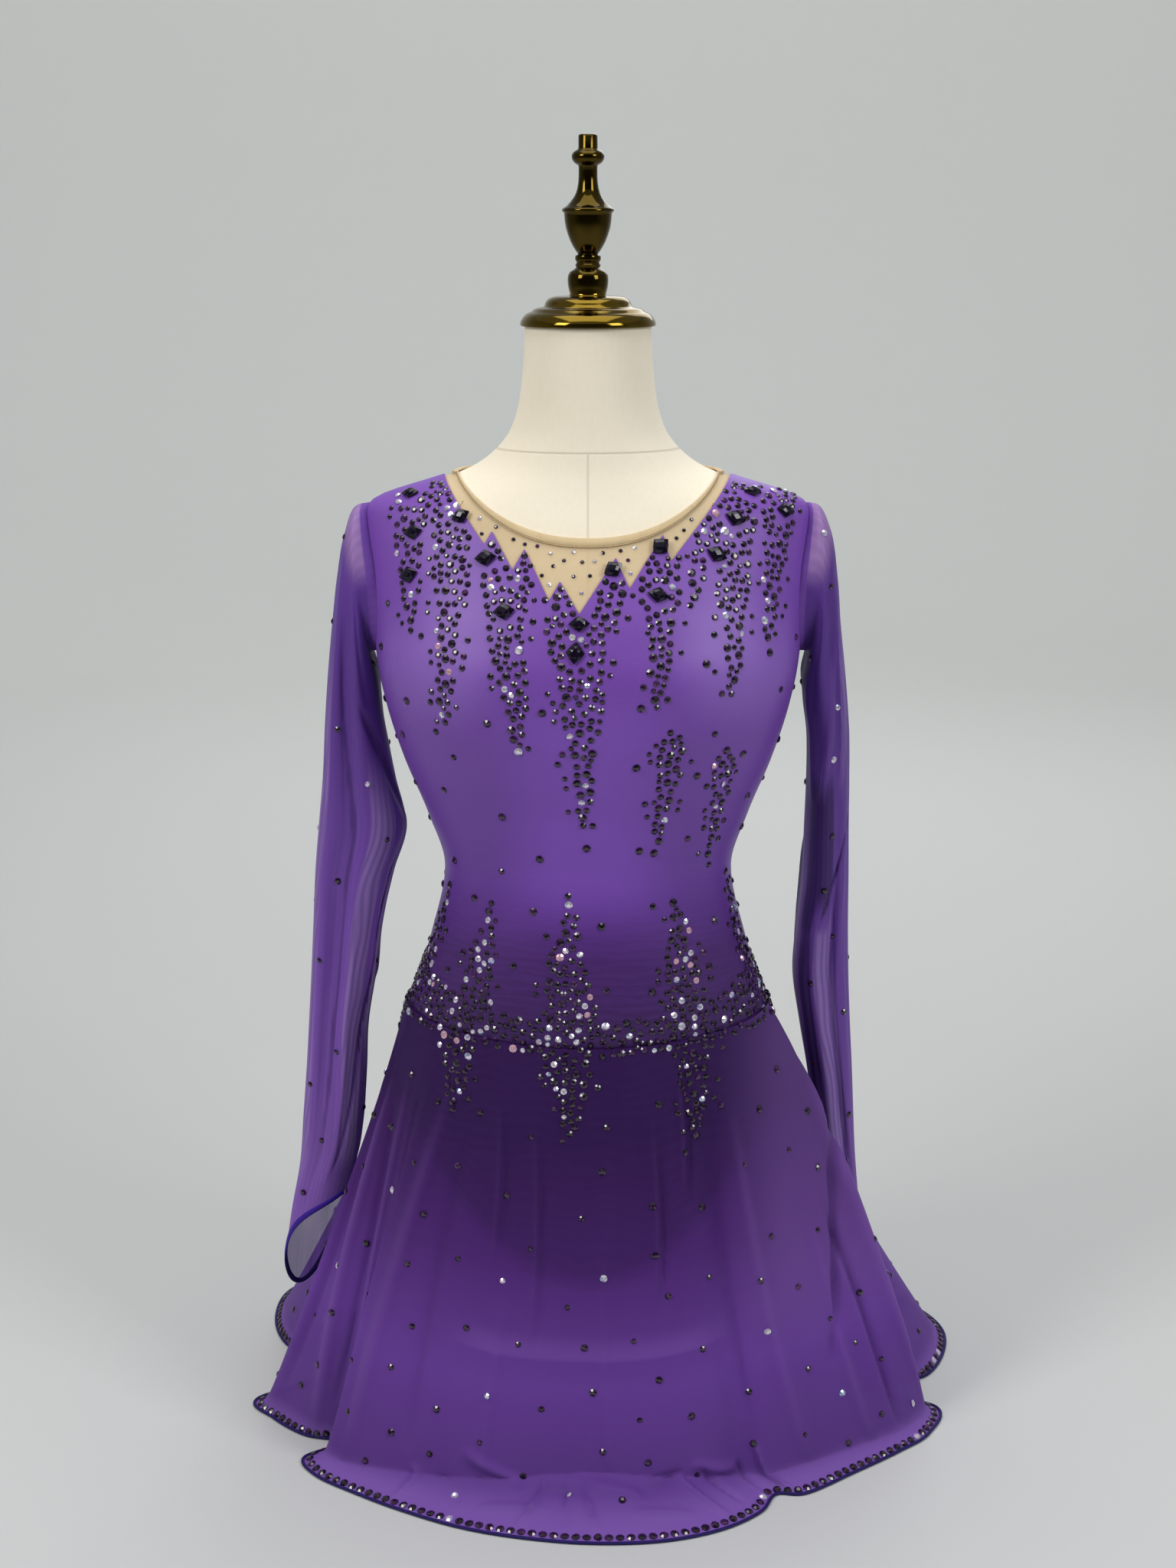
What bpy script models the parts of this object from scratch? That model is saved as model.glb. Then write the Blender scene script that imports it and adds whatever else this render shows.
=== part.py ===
"""A figure skating dress on a limbless dress form.

The dress has a stretch bodice down to a dropped waist, a nude mesh yoke with a
pointed lower edge, long sheer sleeves with a pointed cuff, trunks, and a sheer
flared skirt whose hem spreads over the surface that the form stands on.

Metres, +Z up. The front of the dress faces -Y and +X is at the right of a
picture taken from the front. The origin is under the middle of the plinth.
Angles round the body are degrees from the centre front, positive towards +X.
"""

import math
from collections import namedtuple

import bmesh
import bpy
from mathutils import Vector

# Driving dimensions of the stand and the form
PLINTH_HEIGHT = 0.087
PLINTH_HALF_WIDTH = 0.118
PLINTH_HALF_DEPTH = 0.106
PLINTH_CORNER = 0.030
PLINTH_EDGE = 0.002
REST_GAP = 0.0003
NECK_TOP = 0.954
FORM_COLUMNS = 28
FORM_CURVED_ROW = 0.024
FORM_PLAIN_ROW = 0.05

# Driving dimensions of the cloth
WALL = 0.0012
BINDING_WALL = 0.0018
HEM_BINDING_WALL = 0.0015
BODY_CLEARANCE = 0.0018
SKIRT_CLEARANCE = 0.0044
SEAM_GAP = 0.0003
SLANTED_SEAM_GAP = 0.0009
POINTED_SEAM_GAP = 0.0008
SEAM_HEIGHT_FRONT = 0.386
SEAM_SIDE_RISE = 0.012
NECKLINE_CENTRE = 0.7950
NECKLINE_BACK = 0.8405
NECKLINE_SIDE = 0.8395
NECKLINE_HALF_WIDTH = 0.104
NECK_BINDING_WIDTH = 0.0068
BACK_YOKE_CENTRE = 0.725
BACK_YOKE_SIDE = 0.781
ARMHOLE_MIDDLE = 0.7545
ARMHOLE_HALF_HEIGHT = 0.0605
ARMHOLE_FRONT_ANGLE = 17.5
ARMHOLE_BACK_ANGLE = 20.0
SIDE_RADIUS = 0.105
SLEEVE_SIDES = 20
CUFF_BINDING_WIDTH = 0.006
HEM_BINDING_WIDTH = 0.003
SKIRT_LENGTH = 0.45
FLOOR_CLEARANCE = 0.0004
TOUCH_BEND = 0.009
TOUCH_BEND_SHARE = 0.85

# Horizontal sections of the form, from the bottom up: height, half width, depth
# in front of and behind the middle plane, and how lean the section is (1 is an
# ellipse, less is boxier and more is leaner towards the sides)
Section = namedtuple("Section", "z half_width front back lean")
TORSO = (
    Section(0.0873, 0.1485, 0.0950, 0.1000, 0.92),
    Section(0.150, 0.1575, 0.0970, 0.1080, 0.90),
    Section(0.240, 0.1630, 0.0985, 0.1140, 0.90),
    Section(0.320, 0.1620, 0.0990, 0.1140, 0.90),
    Section(0.390, 0.1495, 0.0970, 0.1060, 0.90),
    Section(0.452, 0.1290, 0.0925, 0.0920, 0.94),
    Section(0.514, 0.1163, 0.0875, 0.0810, 1.00),
    Section(0.561, 0.1300, 0.0935, 0.0830, 0.98),
    Section(0.608, 0.1485, 0.1070, 0.0880, 0.92),
    Section(0.650, 0.1610, 0.1190, 0.0920, 0.84),
    Section(0.685, 0.1680, 0.1225, 0.0950, 0.82),
    Section(0.725, 0.1720, 0.1130, 0.0980, 0.90),
    Section(0.762, 0.1755, 0.0955, 0.0970, 1.05),
    Section(0.792, 0.1780, 0.0785, 0.0900, 1.22),
    Section(0.809, 0.1770, 0.0700, 0.0830, 1.34),
    Section(0.818, 0.1680, 0.0655, 0.0780, 1.40),
    Section(0.8265, 0.1430, 0.0620, 0.0730, 1.38),
    Section(0.8345, 0.1160, 0.0590, 0.0685, 1.28),
    Section(0.844, 0.0920, 0.0560, 0.0640, 1.16),
    Section(0.857, 0.0745, 0.0535, 0.0590, 1.06),
    Section(0.873, 0.0620, 0.0515, 0.0545, 1.00),
    Section(0.898, 0.0545, 0.0503, 0.0515, 1.00),
    Section(0.925, 0.0515, 0.0500, 0.0503, 1.00),
    Section(NECK_TOP, 0.0500, 0.0500, 0.0500, 1.00),
)

# Lower edge of the front yoke, from the -X shoulder to the +X shoulder: each row
# is a turning point of the edge, as a distance from the centre and a height
Point = namedtuple("Point", "x z")
YOKE_EDGE = (
    Point(-0.1140, 0.8351),
    Point(-0.0804, 0.7890),
    Point(-0.0743, 0.7990),
    Point(-0.0582, 0.7710),
    Point(-0.0489, 0.7865),
    Point(-0.0299, 0.7495),
    Point(-0.0215, 0.7635),
    Point(-0.0067, 0.7400),
    Point(0.0214, 0.7805),
    Point(0.0318, 0.7580),
    Point(0.0579, 0.7970),
    Point(0.0638, 0.7770),
    Point(0.1130, 0.8354),
)

# Rows and columns of the body panels
FRONT_ROW = 0.033
BACK_ROW = 0.030
SHOULDER_ROW = 0.0075
BACK_COLUMNS = 14
LEAST_COLUMN = 0.03
WIDEST_COLUMN = 0.17
FRONT_YOKE_LEVELS = (0.0, 0.2, 0.4, 0.6, 0.8, 1.0)

# Upright lines of the front panels between the turning points, as shares of the
# half width, so that the wide stretches to the armholes have lines of their own
FRONT_SIDE_LINES = (1.0, 0.88, 0.74, 0.62, 0.53, 0.46, 0.405)

# Faceted rhombus stones sewn on the front: place, half length and half width,
# and how far the long diagonal is turned from upright
Stone = namedtuple("Stone", "x z half_length half_width turn")
STONE_BASE_GAP = 0.00034
STONE_GIRDLE = 0.0018
STONE_HEIGHT = 0.0042
STONE_BASE = 0.86
STONE_TABLE = 0.45
STONES = (
    Stone(-0.1360, 0.7955, 0.0085, 0.0065, 75),
    Stone(-0.1390, 0.7635, 0.0090, 0.0070, 70),
    Stone(-0.0985, 0.8090, 0.0080, 0.0065, 60),
    Stone(-0.0787, 0.7790, 0.0090, 0.0070, 80),
    Stone(-0.0640, 0.7410, 0.0090, 0.0070, 80),
    Stone(-0.0067, 0.7330, 0.0085, 0.0065, 88),
    Stone(-0.0097, 0.7120, 0.0090, 0.0075, 5),
    Stone(0.0192, 0.7720, 0.0085, 0.0070, 60),
    Stone(0.0557, 0.7880, 0.0085, 0.0075, 50),
    Stone(0.0536, 0.7530, 0.0090, 0.0065, -75),
    Stone(0.1143, 0.8070, 0.0090, 0.0070, -65),
    Stone(0.0992, 0.7810, 0.0090, 0.0070, -60),
    Stone(0.1548, 0.8100, 0.0085, 0.0065, -75),
)

# Sleeve rings from the armhole down, each in an upright plane through Y: the
# outer and inner point of the ring, its middle from front to back, its half
# depth, how deep the long fold in its front is, and how much of the cuff's
# point the ring takes. Distances across are from the middle of the body.
Ring = namedtuple("Ring", "outer_x outer_z inner_x inner_z y half_depth fold point")
LEFT_SLEEVE = (
    Ring(0.1880, 0.8115, 0.1765, 0.6935, 0.000, 0.033, 0.000, 0.0),
    Ring(0.1970, 0.7890, 0.1760, 0.6880, 0.000, 0.036, 0.002, 0.0),
    Ring(0.2035, 0.7550, 0.1740, 0.6800, 0.000, 0.038, 0.005, 0.0),
    Ring(0.2085, 0.7160, 0.1720, 0.6680, 0.001, 0.038, 0.008, 0.0),
    Ring(0.2130, 0.6740, 0.1700, 0.6480, 0.002, 0.036, 0.010, 0.0),
    Ring(0.2165, 0.6320, 0.1655, 0.6200, 0.003, 0.033, 0.010, 0.0),
    Ring(0.2195, 0.5880, 0.1595, 0.5850, 0.005, 0.030, 0.008, 0.0),
    Ring(0.2240, 0.5465, 0.1520, 0.5460, 0.007, 0.028, 0.006, 0.0),
    Ring(0.2285, 0.5040, 0.1645, 0.5040, 0.011, 0.027, 0.008, 0.0),
    Ring(0.2320, 0.4580, 0.1750, 0.4600, 0.017, 0.025, 0.010, 0.0),
    Ring(0.2360, 0.4100, 0.1825, 0.4100, 0.025, 0.024, 0.010, 0.0),
    Ring(0.2400, 0.3640, 0.1905, 0.3640, 0.031, 0.023, 0.009, 0.0),
    Ring(0.2440, 0.3200, 0.1935, 0.3210, 0.036, 0.022, 0.008, 0.0),
    Ring(0.2485, 0.2800, 0.1965, 0.2820, 0.040, 0.022, 0.006, 0.08),
    Ring(0.2535, 0.2400, 0.2010, 0.2470, 0.044, 0.021, 0.004, 0.30),
    Ring(0.2630, 0.2040, 0.2060, 0.2240, 0.047, 0.021, 0.002, 0.65),
    Ring(0.2695, 0.1740, 0.2095, 0.2070, 0.049, 0.021, 0.000, 1.00),
)
RIGHT_SLEEVE = (
    Ring(0.1870, 0.8120, 0.1790, 0.6935, 0.000, 0.033, 0.000, 0.0),
    Ring(0.1960, 0.7930, 0.1790, 0.6880, 0.000, 0.036, 0.002, 0.0),
    Ring(0.2015, 0.7600, 0.1780, 0.6800, 0.000, 0.038, 0.005, 0.0),
    Ring(0.2055, 0.7200, 0.1760, 0.6680, 0.001, 0.038, 0.007, 0.0),
    Ring(0.2105, 0.6760, 0.1770, 0.6500, 0.002, 0.037, 0.006, 0.0),
    Ring(0.2145, 0.6320, 0.1805, 0.6250, 0.004, 0.036, 0.004, 0.0),
    Ring(0.2160, 0.5860, 0.1815, 0.5840, 0.007, 0.035, 0.004, 0.0),
    Ring(0.2170, 0.5440, 0.1810, 0.5440, 0.011, 0.034, 0.005, 0.0),
    Ring(0.2185, 0.5020, 0.1805, 0.5020, 0.016, 0.033, 0.006, 0.0),
    Ring(0.2200, 0.4570, 0.1775, 0.4580, 0.023, 0.031, 0.008, 0.0),
    Ring(0.2225, 0.4100, 0.1755, 0.4100, 0.031, 0.028, 0.010, 0.0),
    Ring(0.2255, 0.3640, 0.1825, 0.3640, 0.036, 0.026, 0.010, 0.0),
    Ring(0.2290, 0.3200, 0.1905, 0.3200, 0.040, 0.023, 0.008, 0.0),
    Ring(0.2320, 0.2800, 0.1960, 0.2820, 0.043, 0.021, 0.006, 0.08),
    Ring(0.2350, 0.2450, 0.2000, 0.2500, 0.044, 0.020, 0.004, 0.25),
    Ring(0.2385, 0.2150, 0.2040, 0.2260, 0.043, 0.019, 0.002, 0.40),
    Ring(0.2410, 0.1900, 0.2080, 0.2070, 0.042, 0.018, 0.000, 0.60),
)
CUFF_POINT_DROP = 0.075
CUFF_POINT_ANGLE = -58.0
SLEEVE_FOLD_ANGLE = 72.0
SLEEVE_FOLD_WIDTH = 20.0

# Skirt folds all round, each a line from the seam to the hem: its angle at the
# seam, where the hem ends on the surface, the length that lies on it, and how
# the line hangs (1 is straight, more hangs steeply and flares out at the hem)
Fold = namedtuple("Fold", "angle x y lying hang")
SKIRT_FOLDS = (
    Fold(-180, 0.0000, 0.3150, 0.000, 1.05),
    Fold(-165, -0.0880, 0.3050, 0.000, 1.10),
    Fold(-151, -0.1700, 0.2860, 0.000, 1.20),
    Fold(-138, -0.2400, 0.2960, 0.000, 1.10),
    Fold(-127, -0.2920, 0.2680, 0.004, 1.10),
    Fold(-117, -0.3030, 0.2130, 0.004, 1.20),
    Fold(-107, -0.2870, 0.1500, 0.000, 1.5),
    Fold(-97, -0.2380, 0.0900, 0.000, 1.6),
    Fold(-87, -0.2985, 0.0400, 0.010, 1.12),
    Fold(-79, -0.2790, 0.0050, 0.010, 1.10),
    Fold(-71, -0.2475, -0.0250, 0.006, 1.00),
    Fold(-62, -0.2130, -0.0380, 0.000, 1.00),
    Fold(-54, -0.2441, -0.0640, 0.018, 1.00),
    Fold(-46, -0.2310, -0.0930, 0.026, 1.00),
    Fold(-37, -0.1960, -0.1210, 0.036, 1.00),
    Fold(-28, -0.1540, -0.1490, 0.044, 1.00),
    Fold(-19, -0.1060, -0.1745, 0.052, 1.00),
    Fold(-10, -0.0560, -0.1905, 0.060, 1.00),
    Fold(0, 0.0020, -0.1993, 0.066, 1.00),
    Fold(10, 0.0600, -0.1960, 0.064, 1.00),
    Fold(20, 0.1080, -0.1790, 0.056, 1.00),
    Fold(28, 0.1420, -0.1520, 0.044, 1.00),
    Fold(34, 0.1570, -0.1240, 0.030, 1.00),
    Fold(41, 0.1830, -0.1220, 0.030, 0.95),
    Fold(51, 0.2280, -0.0870, 0.028, 0.90),
    Fold(61, 0.2690, -0.0530, 0.026, 0.90),
    Fold(70, 0.2990, -0.0220, 0.020, 0.85),
    Fold(79, 0.3120, 0.0250, 0.012, 0.85),
    Fold(87, 0.2500, 0.0600, 0.000, 1.5),
    Fold(96, 0.3125, 0.0860, 0.000, 2.3),
    Fold(107, 0.3400, 0.1670, 0.005, 1.35),
    Fold(119, 0.3140, 0.2340, 0.000, 1.20),
    Fold(131, 0.2600, 0.2750, 0.000, 1.15),
    Fold(144, 0.1950, 0.2820, 0.000, 1.20),
    Fold(156, 0.1330, 0.2900, 0.000, 1.15),
    Fold(168, 0.0690, 0.3060, 0.000, 1.10),
    Fold(180, 0.0000, 0.3150, 0.000, 1.05),
)
COLUMNS_A_FOLD = 2
SKIRT_SIDE_SEAMS = (-92.0, 91.5)
SKIRT_SEAM_TRIM = 0.06
LEAST_STEP = 0.1
SKIRT_ROWS = (0.0, 0.06, 0.13, 0.22, 0.33, 0.45, 0.57, 0.69, 0.79, 0.86, 0.91, 0.955, 1.0)

# Lower edge of the trunks: height at the centre front, centre back and sides
TRUNKS_FRONT = 0.182
TRUNKS_BACK = 0.165
TRUNKS_SIDE = 0.242
TRUNKS_COLUMNS = 14
TRUNKS_ROWS = 5

# Turned cap over the neck with the finial on it, as radii at heights, top first
Turning = namedtuple("Turning", "radius z")
TURNED_SIDES = 20
CAP_BOTTOM = NECK_TOP + REST_GAP
FINIAL_PROFILE = (
    Turning(0.0066, 1.1010),
    Turning(0.0076, 1.1000),
    Turning(0.0076, 1.0900),
    Turning(0.0100, 1.0885),
    Turning(0.0128, 1.0850),
    Turning(0.0128, 1.0825),
    Turning(0.0105, 1.0790),
    Turning(0.0074, 1.0770),
    Turning(0.0074, 1.0680),
    Turning(0.0085, 1.0600),
    Turning(0.0115, 1.0530),
    Turning(0.0165, 1.0470),
    Turning(0.0195, 1.0450),
    Turning(0.0205, 1.0435),
    Turning(0.0190, 1.0415),
    Turning(0.0182, 1.0350),
    Turning(0.0160, 1.0250),
    Turning(0.0120, 1.0160),
    Turning(0.0080, 1.0100),
    Turning(0.0100, 1.0085),
    Turning(0.0100, 1.0050),
    Turning(0.0090, 1.0035),
    Turning(0.0100, 1.0020),
    Turning(0.0095, 0.9995),
    Turning(0.0145, 0.9960),
    Turning(0.0162, 0.9900),
    Turning(0.0155, 0.9850),
    Turning(0.0142, 0.9792),
    Turning(0.0185, 0.9778),
    Turning(0.0290, 0.9768),
    Turning(0.0335, 0.9730),
    Turning(0.0350, 0.9695),
    Turning(0.0400, 0.9685),
    Turning(0.0445, 0.9660),
    Turning(0.0465, 0.9650),
    Turning(0.0505, 0.9625),
    Turning(0.0535, 0.9585),
    Turning(0.0540, 0.9560),
    Turning(0.0525, CAP_BOTTOM),
)

# Colour, metallic and roughness of each material
Look = namedtuple("Look", "colour metallic roughness")
LOOKS = {
    "plinth_cover": Look((0.86, 0.86, 0.85), 0.0, 0.8),
    "form_linen": Look((0.80, 0.75, 0.66), 0.0, 0.85),
    "polished_brass": Look((0.72, 0.52, 0.16), 1.0, 0.18),
    "violet_stretch": Look((0.14, 0.05, 0.34), 0.0, 0.55),
    "nude_mesh": Look((0.73, 0.56, 0.38), 0.0, 0.7),
    "sheer_violet": Look((0.12, 0.04, 0.27), 0.0, 0.6),
    "deep_binding": Look((0.02, 0.01, 0.16), 0.0, 0.5),
    "black_crystal": Look((0.01, 0.006, 0.02), 0.0, 0.08),
}


def smooth_curve(xs, ys):
    """A curve through the points that never swings past its neighbours."""
    steps = [(ys[i + 1] - ys[i]) / (xs[i + 1] - xs[i]) for i in range(len(xs) - 1)]
    slopes = [steps[0]]
    for before, after in zip(steps, steps[1:]):
        same_way = before * after > 0
        slopes.append(2 * before * after / (before + after) if same_way else 0.0)
    slopes.append(steps[-1])

    def read(x):
        x = min(max(x, xs[0]), xs[-1])
        i = next(k for k in range(len(xs) - 1) if x <= xs[k + 1])
        width = xs[i + 1] - xs[i]
        t = (x - xs[i]) / width
        rise = ys[i + 1] - ys[i]
        bend = width * slopes[i] - rise
        other_bend = rise - width * slopes[i + 1]
        return ys[i] + t * rise + t * (1 - t) * (bend * (1 - t) + other_bend * t)

    return read


def table_curve(rows, along, value):
    """The smooth curve of one column of a table, read along another."""
    return smooth_curve([getattr(row, along) for row in rows],
                        [getattr(row, value) for row in rows])


HALF_WIDTH = table_curve(TORSO, "z", "half_width")
FRONT_DEPTH = table_curve(TORSO, "z", "front")
BACK_DEPTH = table_curve(TORSO, "z", "back")
LEAN = table_curve(TORSO, "z", "lean")


def torso_point(angle, z):
    """The point of the form's surface at an angle in degrees and a height."""
    turn = math.radians(angle)
    ahead = math.cos(turn)
    depth = FRONT_DEPTH(z) if ahead >= 0 else BACK_DEPTH(z)
    y = -math.copysign(depth * abs(ahead) ** LEAN(z), ahead)
    return Vector((HALF_WIDTH(z) * math.sin(turn), y, z))


def torso_normal(angle, z):
    """The direction straight out of the form's surface."""
    step = 0.4
    rise = 0.001
    around = torso_point(angle + step, z) - torso_point(angle - step, z)
    upward = torso_point(angle, z + rise) - torso_point(angle, z - rise)
    normal = around.cross(upward)
    if abs(abs(angle) - 90) < 0.01:
        normal.y = 0.0
    return normal.normalized()


def worn_point(angle, z, out):
    """A point held off the form's surface by the distance out."""
    return torso_point(angle, z) + out * torso_normal(angle, z)


def armhole_angle(z, widest, inset=0.0):
    """How far the armhole, drawn in by the inset, reaches from the side line at
    a height, in degrees."""
    rise = (z - ARMHOLE_MIDDLE) / (ARMHOLE_HALF_HEIGHT - inset)
    if abs(rise) >= 1:
        return 0.0
    return (widest - math.degrees(inset / SIDE_RADIUS)) * math.sqrt(1 - rise * rise)


def armhole_heights(inset=0.0):
    """Heights of the points down one half of the armhole, top first."""
    half = SLEEVE_SIDES // 2
    reach = ARMHOLE_HALF_HEIGHT - inset
    return [ARMHOLE_MIDDLE + reach * math.cos(math.pi * k / half) for k in range(half + 1)]


def front_angle(share, z):
    """The angle at a share of the front's half width, between its side edges."""
    return share * (90.0 - armhole_angle(z, ARMHOLE_FRONT_ANGLE))


def back_angle(share, z):
    """The same on the back, where a share of 1 is the -X side edge."""
    return 180.0 + share * (90.0 - armhole_angle(z, ARMHOLE_BACK_ANGLE))


def seam_height(angle):
    """Height of the dropped waist seam round the body."""
    return SEAM_HEIGHT_FRONT + SEAM_SIDE_RISE * math.sin(math.radians(angle)) ** 2


def straight_line(points, x):
    """Height of a line of straight stretches through the points, at x."""
    x = min(max(x, points[0].x), points[-1].x)
    i = next(k for k in range(len(points) - 1) if x <= points[k + 1].x)
    t = (x - points[i].x) / (points[i + 1].x - points[i].x)
    return points[i].z + t * (points[i + 1].z - points[i].z)


def yoke_edge(x):
    """Height of the pointed edge between the front yoke and the bodice."""
    return straight_line(YOKE_EDGE, x)


def neckline(x, centre):
    """Height of the neckline at a distance from the centre."""
    t = min(abs(x) / NECKLINE_HALF_WIDTH, 1.0)
    return NECKLINE_SIDE - (NECKLINE_SIDE - centre) * (1 - t ** 2.3) ** 0.92


def front_neckline(x):
    return neckline(x, NECKLINE_CENTRE)


def back_neckline(x):
    return neckline(x, NECKLINE_BACK)


def back_yoke_edge(x):
    """Height of the lower edge of the back yoke, lowest at the centre."""
    t = min(abs(x) / HALF_WIDTH(BACK_YOKE_SIDE), 1.0)
    return BACK_YOKE_CENTRE + (BACK_YOKE_SIDE - BACK_YOKE_CENTRE) * t ** 1.5


def height_on_line(share, angle_at, edge):
    """Where an upright line of a panel crosses an edge given by its height at x."""
    low, high = SEAM_HEIGHT_FRONT, NECK_TOP
    for _ in range(40):
        middle = (low + high) / 2
        x = torso_point(angle_at(share, middle), middle).x
        if middle < edge(x):
            low = middle
        else:
            high = middle
    return (low + high) / 2


def material(name):
    """The Principled material of one kind of surface."""
    made = bpy.data.materials.get(name)
    if made is None:
        look = LOOKS[name]
        made = bpy.data.materials.new(name)
        made.use_nodes = True
        shader = made.node_tree.nodes["Principled BSDF"]
        shader.inputs["Base Color"].default_value = (*look.colour, 1.0)
        shader.inputs["Metallic"].default_value = look.metallic
        shader.inputs["Roughness"].default_value = look.roughness
        made.diffuse_color = (*look.colour, 1.0)
    return made


def add_object(name, shape, look):
    """A smooth shaded object from a finished bmesh."""
    bmesh.ops.recalc_face_normals(shape, faces=shape.faces)
    mesh = bpy.data.meshes.new(name)
    shape.to_mesh(mesh)
    shape.free()
    mesh.materials.append(material(look))
    mesh.shade_smooth()
    mesh.set_sharp_from_angle(angle=math.radians(40))
    thing = bpy.data.objects.new(name, mesh)
    bpy.context.scene.collection.objects.link(thing)
    return thing


def add_wall(name, inner, outer, look, ring=False):
    """Cloth with an even wall between two grids of points, rows by columns.

    A ring closes round on itself. Both faces are split along the same
    diagonals, so the wall never crosses itself in a twisted stretch.
    """
    shape = bmesh.new()
    inside = [[shape.verts.new(point) for point in row] for row in inner]
    outside = [[shape.verts.new(point) for point in row] for row in outer]
    rows = len(inner)
    columns = len(inner[0])
    spans = columns if ring else columns - 1

    def split(a, b, c, d, twins):
        short = (a.co - c.co).length <= (b.co - d.co).length
        corners = ((0, 1, 2), (0, 2, 3)) if short else ((0, 1, 3), (1, 2, 3))
        for face in corners:
            shape.faces.new([(a, b, c, d)[k] for k in face])
            shape.faces.new([twins[k] for k in reversed(face)])

    for r in range(rows - 1):
        for c in range(spans):
            d = (c + 1) % columns
            split(outside[r][c], outside[r][d], outside[r + 1][d], outside[r + 1][c],
                  (inside[r][c], inside[r][d], inside[r + 1][d], inside[r + 1][c]))

    def rim(first, second):
        for k in range(len(first) - 1):
            shape.faces.new((first[k], first[k + 1], second[k + 1], second[k]))

    for r in (0, rows - 1):
        loop = range(columns + 1) if ring else range(columns)
        rim([outside[r][c % columns] for c in loop], [inside[r][c % columns] for c in loop])
    if not ring:
        for c in (0, columns - 1):
            rim([row[c] for row in outside], [row[c] for row in inside])
    bmesh.ops.triangulate(shape, faces=[f for f in shape.faces if len(f.verts) > 3])
    return add_object(name, shape, look)


def panel_grid(shares, angle_at, low_edge, high_edge, levels, out, shift):
    """Points of a panel on the body, a row for each level between its edges."""
    grid = []
    spans = [(low_edge(share), high_edge(share)) for share in shares]
    for level in levels:
        row = []
        for share, (low, high) in zip(shares, spans):
            z = low + level * (high - low)
            point = worn_point(angle_at(share, z), z, out)
            row.append(point + Vector((0, shift, 0)))
        grid.append(row)
    return grid


def add_panel(name, look, shares, angle_at, low_edge, high_edge, levels, shift,
              wall=WALL):
    """One cut panel of the bodice or yoke, shifted half a seam gap in depth."""
    grids = [panel_grid(shares, angle_at, low_edge, high_edge, levels, out, shift)
             for out in (BODY_CLEARANCE, BODY_CLEARANCE + wall)]
    return add_wall(name, grids[0], grids[1], look)


def front_shares():
    """Shares of the front's half width: the side lines and the turning points."""
    inner = []
    for point in YOKE_EDGE[1:-1]:
        turn = math.degrees(math.asin(point.x / HALF_WIDTH(point.z)))
        inner.append(turn / front_angle(1.0, point.z))
    outer = [share for share in FRONT_SIDE_LINES if share > inner[-1] + LEAST_COLUMN]
    other = [share for share in FRONT_SIDE_LINES if share > LEAST_COLUMN - inner[0]]
    shares = [-share for share in other] + inner + sorted(outer)
    filled = [shares[0]]
    for share in shares[1:]:
        if share - filled[-1] > WIDEST_COLUMN:
            filled.append((share + filled[-1]) / 2)
        filled.append(share)
    return filled


def even_shares(count):
    return [-1.0 + 2.0 * k / count for k in range(count + 1)]


def side_levels(low, high, spacing, armhole):
    """Levels of a panel's rows, set by its side edge: evenly spaced rows below
    the armhole, the armhole's own heights beside it, and rows above it."""
    below = min(max(armhole[-1], low), high)
    count = max(1, round((below - low) / spacing))
    heights = [low + (below - low) * k / count for k in range(count)]
    heights += [z for z in reversed(armhole) if low < z < high]
    top = heights[-1]
    count = max(1, math.ceil((high - top) / SHOULDER_ROW))
    heights += [top + (high - top) * (k + 1) / count for k in range(count)]
    return [(z - low) / (high - low) for z in heights]


def build_bodice():
    """Front and back of the stretch bodice, from the dropped waist seam up."""
    shares = front_shares()
    low = [seam_height(front_angle(share, SEAM_HEIGHT_FRONT)) + SEAM_GAP / 2 for share in shares]
    gap = POINTED_SEAM_GAP / 2
    high = [height_on_line(share, front_angle, yoke_edge) - gap for share in shares]
    lows = dict(zip(shares, low))
    highs = dict(zip(shares, high))
    levels = side_levels(low[0], high[0], FRONT_ROW, armhole_heights())
    add_panel("bodice_front", "violet_stretch", shares, front_angle,
              lows.get, highs.get, levels, -SEAM_GAP / 2)
    shares = even_shares(BACK_COLUMNS)
    low = [seam_height(back_angle(share, SEAM_HEIGHT_FRONT)) + SEAM_GAP / 2 for share in shares]
    high = [height_on_line(share, back_angle, back_yoke_edge) - SEAM_GAP / 2 for share in shares]
    lows = dict(zip(shares, low))
    highs = dict(zip(shares, high))
    levels = side_levels(low[0], high[0], BACK_ROW, armhole_heights())
    add_panel("bodice_back", "violet_stretch", shares, back_angle,
              lows.get, highs.get, levels, SEAM_GAP / 2)


def binding_drop(x):
    """How far the lower edge of the neck binding lies below the neckline."""
    t = min(abs(x) / NECKLINE_HALF_WIDTH, 1.0)
    return NECK_BINDING_WIDTH * (1.0 - 0.66 * t ** 3)


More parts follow.
